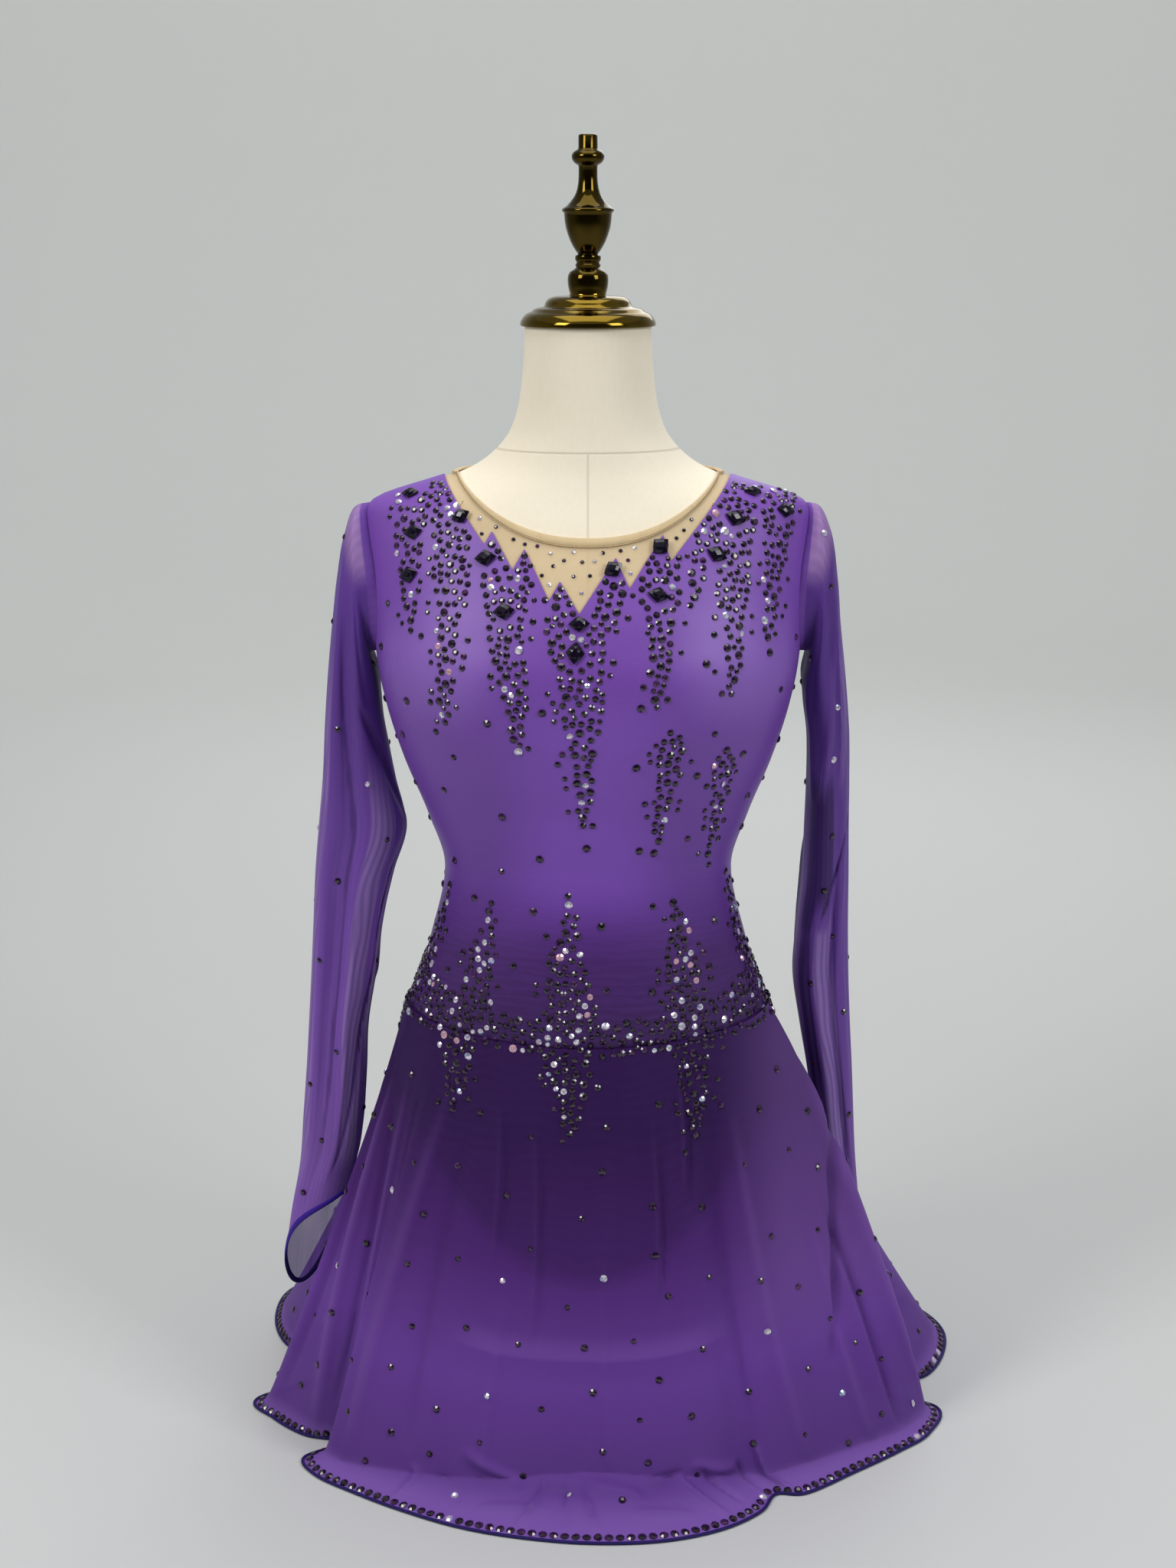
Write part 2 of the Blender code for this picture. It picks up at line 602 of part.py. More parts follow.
def build_yoke():
    """Nude mesh between the neck binding and the bodice, front and back."""
    shares = front_shares()
    gap = POINTED_SEAM_GAP / 2

    def under_binding(x):
        return front_neckline(x) - binding_drop(x) - SEAM_GAP

    def under_back_binding(x):
        return back_neckline(x) - binding_drop(x) - SEAM_GAP

    add_panel("yoke_front", "nude_mesh", shares, front_angle,
              lambda share: height_on_line(share, front_angle, yoke_edge) + gap,
              lambda share: height_on_line(share, front_angle, under_binding),
              FRONT_YOKE_LEVELS, -SEAM_GAP / 2)
    shares = even_shares(BACK_COLUMNS)
    low = [height_on_line(share, back_angle, back_yoke_edge) + SEAM_GAP / 2 for share in shares]
    high = [height_on_line(share, back_angle, under_back_binding) for share in shares]
    lows = dict(zip(shares, low))
    highs = dict(zip(shares, high))
    levels = side_levels(low[0], high[0], BACK_ROW, armhole_heights())
    add_panel("yoke_back", "nude_mesh", shares, back_angle,
              lows.get, highs.get, levels, SEAM_GAP / 2)


def build_neck_binding():
    """The folded band round the whole neckline, one ring."""
    loops = []
    for out in (BODY_CLEARANCE, BODY_CLEARANCE + BINDING_WALL):
        grid = []
        for drop in (1.0, 0.0):
            def front_edge(x, drop=drop):
                return front_neckline(x) - drop * binding_drop(x)

            def back_edge(x, drop=drop):
                return back_neckline(x) - drop * binding_drop(x)

            row = []
            for share in front_shares():
                z = height_on_line(share, front_angle, front_edge)
                row.append(worn_point(front_angle(share, z), z, out))
            for share in even_shares(BACK_COLUMNS)[1:-1]:
                z = height_on_line(share, back_angle, back_edge)
                row.append(worn_point(back_angle(share, z), z, out))
            grid.append(row)
        loops.append(grid)
    return add_wall("neck_binding", loops[0], loops[1], "nude_mesh", ring=True)


def armhole_ring(side, inset):
    """Points of the armhole from the top down the front and up the back."""
    heights = armhole_heights(inset)
    ring = []
    for k in range(SLEEVE_SIDES):
        half = SLEEVE_SIDES // 2
        at_front = k <= half
        z = heights[k] if at_front else heights[SLEEVE_SIDES - k]
        widest = ARMHOLE_FRONT_ANGLE if at_front else ARMHOLE_BACK_ANGLE
        reach = armhole_angle(z, widest, inset)
        angle = side * (90.0 - reach if at_front else 90.0 + reach)
        ring.append(worn_point(angle, z, BODY_CLEARANCE))
    return ring


def cuff_drop(turn):
    """How far the cuff's point hangs below the ring at an angle of the ring."""
    across = math.radians(turn - CUFF_POINT_ANGLE)
    return CUFF_POINT_DROP * (0.5 + 0.5 * math.cos(across)) ** 2.2


def sleeve_ring(ring, side, out):
    """Points of one sleeve ring: 0 degrees is the outer point, 90 the front."""
    outer = Vector((side * ring.outer_x, 0, ring.outer_z))
    inner = Vector((side * ring.inner_x, 0, ring.inner_z))
    middle = (outer + inner) / 2
    reach = (outer - inner) / 2
    half_width = reach.length
    across = reach.normalized()
    points = []
    for k in range(SLEEVE_SIDES):
        turn = 360.0 * k / SLEEVE_SIDES
        c = math.cos(math.radians(turn))
        s = math.sin(math.radians(turn))
        away = abs(turn - SLEEVE_FOLD_ANGLE) / SLEEVE_FOLD_WIDTH
        dent = ring.fold * math.exp(-away * away)
        depth = (ring.half_depth + out) * s - dent
        point = middle + across * (half_width + out) * c
        point.y = ring.y - depth
        point.z -= ring.point * cuff_drop(turn if turn < 180 else turn - 360)
        points.append(point)
    return points


def sleeve_grid(rings, side, out):
    """All rings of a sleeve, the armhole first."""
    first = armhole_ring(side, 1.5 * SEAM_GAP + WALL - out)
    return [first] + [sleeve_ring(ring, side, out - WALL) for ring in rings]


def build_sleeve(name, rings, side):
    """A long sheer sleeve and the binding round its pointed cuff."""
    inner = sleeve_grid(rings, side, 0.0)
    outer = sleeve_grid(rings, side, WALL)
    add_wall("sleeve_" + name, inner, outer, "sheer_violet", ring=True)
    onward = sum(inner[-1], Vector()) - sum(inner[-2], Vector())
    onward.normalize()
    bands = []
    for row in (inner[-1], outer[-1]):
        bands.append([[point + gap * onward for point in row]
                      for gap in (SLANTED_SEAM_GAP, CUFF_BINDING_WIDTH)])
    add_wall("cuff_binding_" + name, bands[0], bands[1], "deep_binding", ring=True)


def body_reach(x, y, z):
    """Distance from the axis to the form's surface in the direction of (x, y)."""
    width = HALF_WIDTH(z)
    depth = FRONT_DEPTH(z) if y < 0 else BACK_DEPTH(z)
    power = 2.0 / LEAN(z)
    distance = math.hypot(x, y)
    low, high = 0.02, 0.30
    for _ in range(26):
        middle = (low + high) / 2
        across = abs(x) / distance * middle / width
        ahead = abs(y) / distance * middle / depth
        if across ** 2 + ahead ** power < 1:
            low = middle
        else:
            high = middle
    return (low + high) / 2


def soft_max(a, b, blend):
    """The greater of two values, rounded off where they meet."""
    return 0.5 * (a + b + math.sqrt((a - b) ** 2 + blend * blend))


def fold_at(column):
    """A row of the fold table between two of its rows, on a smooth curve."""
    last = len(SKIRT_FOLDS) - 1
    i = min(int(column), last - 1)
    t = column - i
    if t == 0:
        return SKIRT_FOLDS[i]
    before = SKIRT_FOLDS[i - 1] if i > 0 else SKIRT_FOLDS[last - 1]
    after = SKIRT_FOLDS[i + 2] if i + 2 <= last else SKIRT_FOLDS[1]
    here, there = SKIRT_FOLDS[i], SKIRT_FOLDS[i + 1]
    values = []
    for field in Fold._fields:
        p0, p1, p2, p3 = (getattr(row, field) for row in (before, here, there, after))
        if field == "angle":
            values.append(p1 + t * (p2 - p1))
            continue
        values.append(0.5 * (2 * p1 + (p2 - p0) * t + (2 * p0 - 5 * p1 + 4 * p2 - p3) * t * t
                             + (3 * p1 - p0 - 3 * p2 + p3) * t ** 3))
    return Fold(*values)


def skirt_point(column, share):
    """The skirt's inner face at a place round the fold table and a share of the
    way from the seam to the hem: it hangs, bends and then lies on the surface."""
    fold = fold_at(column)
    top = seam_height(fold.angle) - SEAM_GAP
    start = worn_point(fold.angle, top, SKIRT_CLEARANCE)
    hem = Vector((fold.x, fold.y, 0))
    run = Vector((hem.x - start.x, hem.y - start.y, 0))
    outward = run.normalized()
    touch = run.length - max(fold.lying, 0.0)
    floor = FLOOR_CLEARANCE + WALL / 2
    hang = math.hypot(touch, start.z - floor)
    travelled = share * (hang + run.length - touch)
    lower = travelled / hang
    plan = touch * lower ** fold.hang if lower < 1 else touch + travelled - hang
    bend = TOUCH_BEND + TOUCH_BEND_SHARE * max(fold.lying, 0.0)
    left_over = soft_max(start.z * (touch - run.length) / hang, 0.0, bend)
    z = soft_max(start.z * (1 - lower), 0.0, bend) - left_over * share ** 4 + floor
    point = Vector((start.x, start.y, 0)) + outward * plan
    if z > PLINTH_HEIGHT:
        reach = soft_max(math.hypot(point.x, point.y),
                         body_reach(point.x, point.y, z) + SKIRT_CLEARANCE, 0.002)
        point *= reach / math.hypot(point.x, point.y)
    point.z = min(z, top)
    return point


def skirt_normal(column, share):
    """The direction straight out of the skirt, up where it lies flat."""
    step = 0.06
    rise = 0.012
    last = len(SKIRT_FOLDS) - 1
    left = max(column - step, 0.0)
    right = min(column + step, last)
    around = skirt_point(right, share) - skirt_point(left, share)
    down = skirt_point(column, min(share + rise, 1)) - skirt_point(column, max(share - rise, 0))
    return down.cross(around).normalized()


def skirt_grid(columns, rows, out):
    return [[skirt_point(c, s) + out * skirt_normal(c, s) for c in columns] for s in rows]


def seam_column(angle):
    """The place in the fold table where a side seam starts at the waist."""
    i = next(k for k in range(len(SKIRT_FOLDS) - 1) if SKIRT_FOLDS[k + 1].angle > angle)
    here, there = SKIRT_FOLDS[i], SKIRT_FOLDS[i + 1]
    return i + (angle - here.angle) / (there.angle - here.angle)


def lifted(grid):
    """Keeps every point above the surface that the skirt lies on."""
    return [[Vector((p.x, p.y, max(p.z, FLOOR_CLEARANCE))) for p in row] for row in grid]


def build_skirt():
    """Front and back of the flared skirt and the binding round the whole hem."""
    trim = SKIRT_SEAM_TRIM
    left, right = SKIRT_SIDE_SEAMS
    front_left, front_right = seam_column(left + trim), seam_column(right - trim)
    back_left, back_right = seam_column(left - trim), seam_column(right + trim)
    last = len(SKIRT_FOLDS) - 1
    steps = [k / COLUMNS_A_FOLD for k in range(last * COLUMNS_A_FOLD)]
    before = [c for c in steps if c < back_left - LEAST_STEP]
    middle = [c for c in steps if front_left + LEAST_STEP < c < front_right - LEAST_STEP]
    after = [c for c in steps if c > back_right + LEAST_STEP]
    front = [front_left] + middle + [front_right]
    back = [back_right] + after + before + [back_left]
    body_rows = SKIRT_ROWS[:-1] + (1.0 - (HEM_BINDING_WIDTH + SLANTED_SEAM_GAP) / SKIRT_LENGTH,)
    for name, columns in (("skirt_front", front), ("skirt_back", back)):
        grids = [lifted(skirt_grid(columns, body_rows, out)) for out in (0.0, WALL)]
        add_wall(name, grids[0], grids[1], "sheer_violet")
    hem_rows = (1.0 - HEM_BINDING_WIDTH / SKIRT_LENGTH, 1.0)
    round_hem = before + [seam_column(left)] + middle + [seam_column(right)] + after
    grids = [lifted(skirt_grid(round_hem, hem_rows, out)) for out in (0.0, HEM_BINDING_WALL)]
    add_wall("hem_binding", grids[0], grids[1], "deep_binding", ring=True)


def trunks_edge(angle):
    """Height of the lower edge of the trunks round the body."""
    turn = math.radians(angle)
    centre = TRUNKS_FRONT if math.cos(turn) > 0 else TRUNKS_BACK
    side = min(1.0, abs(math.sin(turn)) * 1.02)
    return centre + (TRUNKS_SIDE - centre) * side ** 3


def build_trunks():
    """Front and back of the trunks under the skirt."""
    for name, start, shift in (("front", -90, -SEAM_GAP / 2), ("back", 90, SEAM_GAP / 2)):
        angles = [start + 180.0 * k / TRUNKS_COLUMNS for k in range(TRUNKS_COLUMNS + 1)]
        grids = []
        for out in (BODY_CLEARANCE, BODY_CLEARANCE + WALL):
            grid = []
            for level in range(TRUNKS_ROWS + 1):
                row = []
                for angle in angles:
                    low = trunks_edge(angle)
                    high = seam_height(angle) - SEAM_GAP / 2
                    z = low + (high - low) * level / TRUNKS_ROWS
                    row.append(worn_point(angle, z, out) + Vector((0, shift, 0)))
                grid.append(row)
            grids.append(grid)
        add_wall("trunks_" + name, grids[0], grids[1], "violet_stretch")


def build_form():
    """The padded torso with its neck, one closed solid."""
    shape = bmesh.new()
    heights = []
    for here, there in zip(TORSO, TORSO[1:]):
        curved = SEAM_HEIGHT_FRONT < there.z < ARMHOLE_MIDDLE
        spacing = FORM_CURVED_ROW if curved else FORM_PLAIN_ROW
        parts = math.ceil((there.z - here.z) / spacing)
        heights += [here.z + (there.z - here.z) * k / parts for k in range(parts)]
    heights.append(TORSO[-1].z)
    rings = []
    for z in heights:
        angles = [360.0 * k / FORM_COLUMNS for k in range(FORM_COLUMNS)]
        rings.append([shape.verts.new(torso_point(angle, z)) for angle in angles])
    for low, high in zip(rings, rings[1:]):
        for k in range(FORM_COLUMNS):
            n = (k + 1) % FORM_COLUMNS
            shape.faces.new((low[k], low[n], high[n], high[k]))
    shape.faces.new(reversed(rings[0]))
    shape.faces.new(rings[-1])
    return add_object("form_torso", shape, "form_linen")


def build_plinth():
    """The low covered block that the form stands on."""
    shape = bmesh.new()
    bmesh.ops.create_cube(shape, size=1.0)
    size = Vector((2 * PLINTH_HALF_WIDTH, 2 * PLINTH_HALF_DEPTH, PLINTH_HEIGHT))
    bmesh.ops.scale(shape, vec=size, verts=shape.verts)
    bmesh.ops.translate(shape, vec=(0, 0, PLINTH_HEIGHT / 2), verts=shape.verts)
    upright = [e for e in shape.edges if abs(e.verts[0].co.z - e.verts[1].co.z) > PLINTH_HEIGHT / 2]
    bmesh.ops.bevel(shape, geom=upright, offset=PLINTH_CORNER, segments=4, profile=0.5,
                    affect="EDGES")
    top = [e for e in shape.edges
           if all(abs(v.co.z - PLINTH_HEIGHT) < 1e-6 for v in e.verts)]
    bmesh.ops.bevel(shape, geom=top, offset=PLINTH_EDGE, segments=2, profile=0.5,
                    affect="EDGES")
    return add_object("form_plinth", shape, "plinth_cover")


def add_turned(name, profile, look):
    """A solid of revolution about the upright axis, from a profile top first."""
    shape = bmesh.new()
    rings = []
    for row in profile:
        ring = []
        for k in range(TURNED_SIDES):
            turn = 2 * math.pi * k / TURNED_SIDES
            ring.append(shape.verts.new((row.radius * math.cos(turn),
                                         row.radius * math.sin(turn), row.z)))
        rings.append(ring)
    for high, low in zip(rings, rings[1:]):
        for k in range(TURNED_SIDES):
            n = (k + 1) % TURNED_SIDES
            shape.faces.new((low[k], low[n], high[n], high[k]))
    shape.faces.new(rings[0])
    shape.faces.new(reversed(rings[-1]))
    return add_object(name, shape, look)


def build_stones():
    """Large faceted rhombus stones, each on a flat back just off the cloth."""
    for number, stone in enumerate(STONES, 1):
        turn = math.degrees(math.asin(stone.x / HALF_WIDTH(stone.z)))
        out = BODY_CLEARANCE + WALL + STONE_BASE_GAP
        centre = worn_point(turn, stone.z, out)
        normal = torso_normal(turn, stone.z)
        across = Vector((0, 0, 1)).cross(normal).normalized()
        upward = normal.cross(across)
        lean = math.radians(stone.turn)
        long_way = math.cos(lean) * upward + math.sin(lean) * across
        short_way = normal.cross(long_way)
        corners = (long_way * stone.half_length, short_way * stone.half_width,
                   -long_way * stone.half_length, -short_way * stone.half_width)
        shape = bmesh.new()
        levels = ((STONE_BASE, 0.0), (1.0, STONE_GIRDLE), (STONE_TABLE, STONE_HEIGHT))
        rings = []
        for size, height in levels:
            rings.append([shape.verts.new(centre + size * corner + height * normal)
                          for corner in corners])
        for low, high in zip(rings, rings[1:]):
            for k in range(4):
                n = (k + 1) % 4
                shape.faces.new((low[k], low[n], high[n], high[k]))
        shape.faces.new(reversed(rings[0]))
        shape.faces.new(rings[-1])
        made = add_object("stone_%02d" % number, shape, "black_crystal")
        for polygon in made.data.polygons:
            polygon.use_smooth = False


def build():
    """The whole object, piece by piece."""
    for thing in list(bpy.data.objects):
        bpy.data.objects.remove(thing, do_unlink=True)
    build_plinth()
    build_form()
    add_turned("form_finial", FINIAL_PROFILE, "polished_brass")
    build_bodice()
    build_yoke()
    build_neck_binding()
    build_sleeve("left", LEFT_SLEEVE, -1)
    build_sleeve("right", RIGHT_SLEEVE, 1)
    build_trunks()
    build_skirt()
    build_stones()


build()
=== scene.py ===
# %% [markdown]
# # A figure skating dress on a limbless dress form
# The dress is cut from stretch cloth and sheer mesh, and glued with small
# stones. Each cut piece is drawn again here as a fine shell on the form of its
# plain solid, so that edges, folds and thin cloth read as the real ones do.
# Everything is in metres, +Z is up and the front of the dress faces -Y.

# %% The frame that carries everything
import math
from collections import namedtuple
from itertools import product

import bmesh
import bpy
import numpy as np
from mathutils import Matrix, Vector
from mathutils.bvhtree import BVHTree


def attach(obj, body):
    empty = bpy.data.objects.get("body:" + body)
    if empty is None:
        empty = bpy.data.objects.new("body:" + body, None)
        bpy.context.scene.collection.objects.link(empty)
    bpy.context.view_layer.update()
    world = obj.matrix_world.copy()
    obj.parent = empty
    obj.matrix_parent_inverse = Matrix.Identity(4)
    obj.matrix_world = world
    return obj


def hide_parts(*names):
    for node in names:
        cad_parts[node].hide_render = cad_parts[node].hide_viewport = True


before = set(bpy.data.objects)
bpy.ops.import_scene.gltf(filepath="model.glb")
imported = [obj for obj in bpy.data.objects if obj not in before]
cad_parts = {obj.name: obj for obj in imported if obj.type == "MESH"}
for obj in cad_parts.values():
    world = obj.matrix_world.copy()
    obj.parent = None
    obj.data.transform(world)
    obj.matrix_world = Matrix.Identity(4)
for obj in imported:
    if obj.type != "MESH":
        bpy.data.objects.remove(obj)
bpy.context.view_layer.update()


def table(kind, rows):
    """Rows of plain numbers, each turned into its own kind with named columns."""
    return tuple(kind(*row) for row in rows)


print("nodes in the frame:", len(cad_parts))

# %% [markdown]
# ## Camera
# A phone at the height of the finial looked a little down at the dress. The
# focal length comes from the picture's long side, taken as a 36 mm sensor.

# %% Camera
SENSOR = 36.0
FOCAL_LENGTH = 54.1
CAMERA_AWAY = 1.9
CAMERA_HEIGHT = 1.034
CAMERA_TILT = 76.6

scene = bpy.context.scene
camera_data = bpy.data.cameras.new("front_view")
camera_data.sensor_width = SENSOR
camera_data.lens = FOCAL_LENGTH
camera = bpy.data.objects.new("front_view", camera_data)
camera.location = (0.0, -CAMERA_AWAY, CAMERA_HEIGHT)
camera.rotation_euler = (math.radians(CAMERA_TILT), 0.0, 0.0)
scene.collection.objects.link(camera)
scene.camera = camera
scene.view_settings.view_transform = "Standard"
print("lens", camera_data.lens, "mm")


# %% [markdown]
# ## Shader arithmetic
# A material is a graph of nodes. Writing its sums as Python keeps it readable:
# a Wire is a socket that can be added, scaled and raised to a power, and a
# Finish is one material with a single method that adds any other node.

# %% Wires
class Wire:
    """A shader socket that takes part in Python arithmetic."""

    def __init__(self, tree, socket):
        self.tree = tree
        self.socket = socket

    def worked(self, operation, *values):
        node = self.tree.nodes.new("ShaderNodeMath")
        node.operation = operation
        for slot, value in zip(node.inputs, values):
            if isinstance(value, Wire):
                self.tree.links.new(value.socket, slot)
            else:
                slot.default_value = value
        return Wire(self.tree, node.outputs[0])

    def __add__(self, other):
        return self.worked("ADD", self, other)

    def __sub__(self, other):
        return self.worked("SUBTRACT", self, other)

    def __rsub__(self, other):
        return self.worked("SUBTRACT", other, self)

    def __mul__(self, other):
        return self.worked("MULTIPLY", self, other)

    def __truediv__(self, other):
        return self.worked("DIVIDE", self, other)

    def __pow__(self, other):
        return self.worked("POWER", self, other)

    def __abs__(self):
        return self.worked("ABSOLUTE", self)

    def sine(self):
        return self.worked("SINE", self)

    def wave(self):
        """A sine that swings between 0 and 1."""
        return self.sine() * 0.5 + 0.5

    def least(self, other):
        return self.worked("MINIMUM", self, other)

    def most(self, other):
        return self.worked("MAXIMUM", self, other)

    def smooth(self, low, high):
        """0 below low, 1 above high, with an even turn between them."""
        t = ((self - low) / (high - low)).most(0.0).least(1.0)
        return t * t * (3.0 - t * 2.0)

    def fade(self, low, high):
        """1 below low, 0 above high."""
        return 1.0 - self.smooth(low, high)

    __radd__ = __add__
    __rmul__ = __mul__


# %% Finishes
class Finish:
    """One material, its Principled shader and the maker of its nodes."""

    def __init__(self, name, **constants):
        self.material = bpy.data.materials.new(name)
        self.material.use_nodes = True
        self.tree = self.material.node_tree
        self.tree.nodes.clear()
        self.shader = self.tree.nodes.new("ShaderNodeBsdfPrincipled")
        output = self.tree.nodes.new("ShaderNodeOutputMaterial")
        self.tree.links.new(self.shader.outputs[0], output.inputs[0])
        for socket, value in constants.items():
            self.shader.inputs[socket.replace("_", " ")].default_value = value

    def node(self, kind, settings=(), sockets=(), out=0):
        made = self.tree.nodes.new(kind)
        for key, value in dict(settings).items():
            if key == "stops":
                ramp = made.color_ramp
                while len(ramp.elements) < len(value):
                    ramp.elements.new(0.5)
                for element, (place, colour) in zip(ramp.elements, value):
                    element.position = place
                    element.color = colour
            else:
                setattr(made, key, value)
        for key, value in dict(sockets).items():
            if isinstance(value, Wire):
                self.tree.links.new(value.socket, made.inputs[key])
            else:
                made.inputs[key].default_value = value
        return Wire(self.tree, made.outputs[out])

    def feed(self, socket, wire):
        self.tree.links.new(wire.socket, self.shader.inputs[socket])

    def place(self):
        """Object coordinates, for a pattern that stands still in space."""
        return self.node("ShaderNodeTexCoord", out=3)

    def cut_place(self):
        """The flat place on the cut piece, in metres across and along."""
        return self.node("ShaderNodeUVMap", {"uv_map": "cut"})

    def numbers(self, place):
        """The three numbers of a place, each as a wire of its own."""
        split = self.node("ShaderNodeSeparateXYZ", (), {0: place}).socket.node
        return [Wire(self.tree, socket) for socket in split.outputs]

    def attribute(self, name):
        return self.node("ShaderNodeAttribute", {"attribute_name": name}, out=2)

    def noise(self, where, scale, detail=2.0, stretch=(1, 1, 1)):
        spread = self.node("ShaderNodeMapping", (), {0: where, 3: stretch})
        return self.node("ShaderNodeTexNoise", (),
                         {"Vector": spread, "Scale": scale, "Detail": detail})

    def blend(self, share, first, second):
        return self.node("ShaderNodeMix", {"data_type": "RGBA"},
                         {0: share, 6: first, 7: second}, out=2)

    def ramp(self, share, stops):
        return self.node("ShaderNodeValToRGB", {"stops": stops}, {0: share})

    def bump(self, height, strength, distance):
        self.feed("Normal", self.node("ShaderNodeBump", (), {
            "Height": height, "Strength": strength, "Distance": distance}))


def dye(red, green, blue):
    """A colour given as on a screen, turned into the shader's linear values."""
    return tuple(((v / 255 + 0.055) / 1.055) ** 2.4 for v in (red, green, blue)) + (1.0,)


def dyes(*stops):
    """The stops of a ramp: a place and the colour there."""
    return [(place, dye(*colour)) for place, colour in stops]


print("a screen's middle grey, linear: %.3f" % dye(128, 128, 128)[0])

# %% [markdown]
# ## Reading the form
# The dress form is a stack of level sections. A smooth curve through each
# column of the table gives the width and depths at any height, and everything
# that is worn is held off that surface by its own small distance.

# %% Sections of the form
Section = namedtuple("Section", "z half_width front back lean")
TORSO = table(Section, (
    (0.0873, 0.1485, 0.0950, 0.1000, 0.92), (0.150, 0.1575, 0.0970, 0.1080, 0.90),
    (0.240, 0.1630, 0.0985, 0.1140, 0.90), (0.320, 0.1620, 0.0990, 0.1140, 0.90),
    (0.390, 0.1495, 0.0970, 0.1060, 0.90), (0.452, 0.1290, 0.0925, 0.0920, 0.94),
    (0.514, 0.1163, 0.0875, 0.0810, 1.00), (0.561, 0.1300, 0.0935, 0.0830, 0.98),
    (0.608, 0.1485, 0.1070, 0.0880, 0.92), (0.650, 0.1610, 0.1190, 0.0920, 0.84),
    (0.685, 0.1680, 0.1225, 0.0950, 0.82), (0.725, 0.1720, 0.1130, 0.0980, 0.90),
    (0.762, 0.1755, 0.0955, 0.0970, 1.05), (0.792, 0.1780, 0.0785, 0.0900, 1.22),
    (0.809, 0.1770, 0.0700, 0.0830, 1.34), (0.818, 0.1680, 0.0655, 0.0780, 1.40),
    (0.8265, 0.1430, 0.0620, 0.0730, 1.38), (0.8345, 0.1160, 0.0590, 0.0685, 1.28),
    (0.844, 0.0920, 0.0560, 0.0640, 1.16), (0.857, 0.0745, 0.0535, 0.0590, 1.06),
    (0.873, 0.0620, 0.0515, 0.0545, 1.00), (0.898, 0.0545, 0.0503, 0.0515, 1.00),
    (0.925, 0.0515, 0.0500, 0.0503, 1.00), (0.954, 0.0500, 0.0500, 0.0500, 1.00),
))
NECK_TOP = TORSO[-1].z
TABLE_STEP = 0.001
PROBE_TURN, PROBE_RISE = 0.5, 0.002
BUST_LEVEL = 0.685


def smooth_curve(xs, ys):
    """A curve through the points that never swings past its neighbours."""
    xs, ys = np.array(xs, float), np.array(ys, float)
    steps = np.diff(ys) / np.diff(xs)
    slopes = np.concatenate([steps[:1], np.zeros(len(steps) - 1), steps[-1:]])
    product = steps[:-1] * steps[1:]
    total = np.where(product > 0, steps[:-1] + steps[1:], 1.0)
    slopes[1:-1] = np.where(product > 0, 2 * product / total, 0.0)

    def read(x):
        x = np.clip(x, xs[0], xs[-1])
        i = np.clip(np.searchsorted(xs, x) - 1, 0, len(xs) - 2)
        width = xs[i + 1] - xs[i]
        t = (x - xs[i]) / width
        rise = ys[i + 1] - ys[i]
        bend = width * slopes[i] - rise
        other_bend = rise - width * slopes[i + 1]
        return ys[i] + t * rise + t * (1 - t) * (bend * (1 - t) + other_bend * t)

    return read


def section_curve(column, soften=5):
    """One column of the table against height, softened over a few millimetres."""
    exact = smooth_curve([row.z for row in TORSO], [getattr(row, column) for row in TORSO])
    heights = np.arange(TORSO[0].z, NECK_TOP + TABLE_STEP, TABLE_STEP)
    reach = np.arange(-3 * soften, 3 * soften + 1)
    weights = np.exp(-0.5 * (reach / soften) ** 2)
    padded = exact(np.pad(heights, 3 * soften, mode="edge"))
    soft = np.convolve(padded, weights / weights.sum(), mode="valid")
    return lambda z: np.interp(z, heights, soft)


HALF_WIDTH = section_curve("half_width", 3)
FRONT_DEPTH = section_curve("front")
BACK_DEPTH = section_curve("back")
LEAN = section_curve("lean")


def torso_point(angle, z):
    """The form's surface at an angle from the centre front and a height."""
    turn, z = np.broadcast_arrays(np.radians(angle), z)
    ahead = np.cos(turn)
    depth = np.where(ahead >= 0, FRONT_DEPTH(z), BACK_DEPTH(z))
    y = -np.copysign(depth * np.abs(ahead) ** LEAN(z), ahead)
    return np.stack([HALF_WIDTH(z) * np.sin(turn), y, z], axis=-1)


def unit(vectors):
    return vectors / np.linalg.norm(vectors, axis=-1, keepdims=True)


def torso_normal(angle, z):
    """Straight out of the form's surface."""
    around = torso_point(angle + PROBE_TURN, z) - torso_point(angle - PROBE_TURN, z)
    upward = torso_point(angle, z + PROBE_RISE) - torso_point(angle, z - PROBE_RISE)
    return unit(np.cross(around, upward))


def worn_point(angle, z, out):
    """A point held off the form by the distance out."""
    return torso_point(angle, z) + np.asarray(out)[..., None] * torso_normal(angle, z)


print("bust %.0f mm wide" % (2000 * HALF_WIDTH(BUST_LEVEL)))


# %% [markdown]
# ## From a grid of points to cloth
# Every cut piece is worked out as rows and columns of points. A sheer piece is
# one sheet. An opaque one is a closed shell with a real edge. Both carry a UV
# map in metres of cloth, so that a pattern follows the thread.

# %% Grids of points
def run_lengths(points, closed):
    """Lengths along a line of points, from its first point."""
    if closed:
        points = np.concatenate([points, points[:1]])
    steps = np.linalg.norm(np.diff(points, axis=0), axis=-1)
    return np.concatenate([[0.0], np.cumsum(steps)])


def faces_out(grid, ring):
    """Whether the faces of a grid, in its column order, point outwards."""
    centre = grid.mean(axis=1, keepdims=True) if ring else np.array([0.0, 0.0, 0.0])
    across = grid[1:, 1:] - grid[:-1, :-1]
    other = grid[:-1, 1:] - grid[1:, :-1]
    outward = (grid - centre)[:-1, :-1].copy()
    if not ring:
        outward[..., 2] = 0.25 * np.abs(outward[..., 2])
    return (np.cross(across, other) * outward).sum() > 0


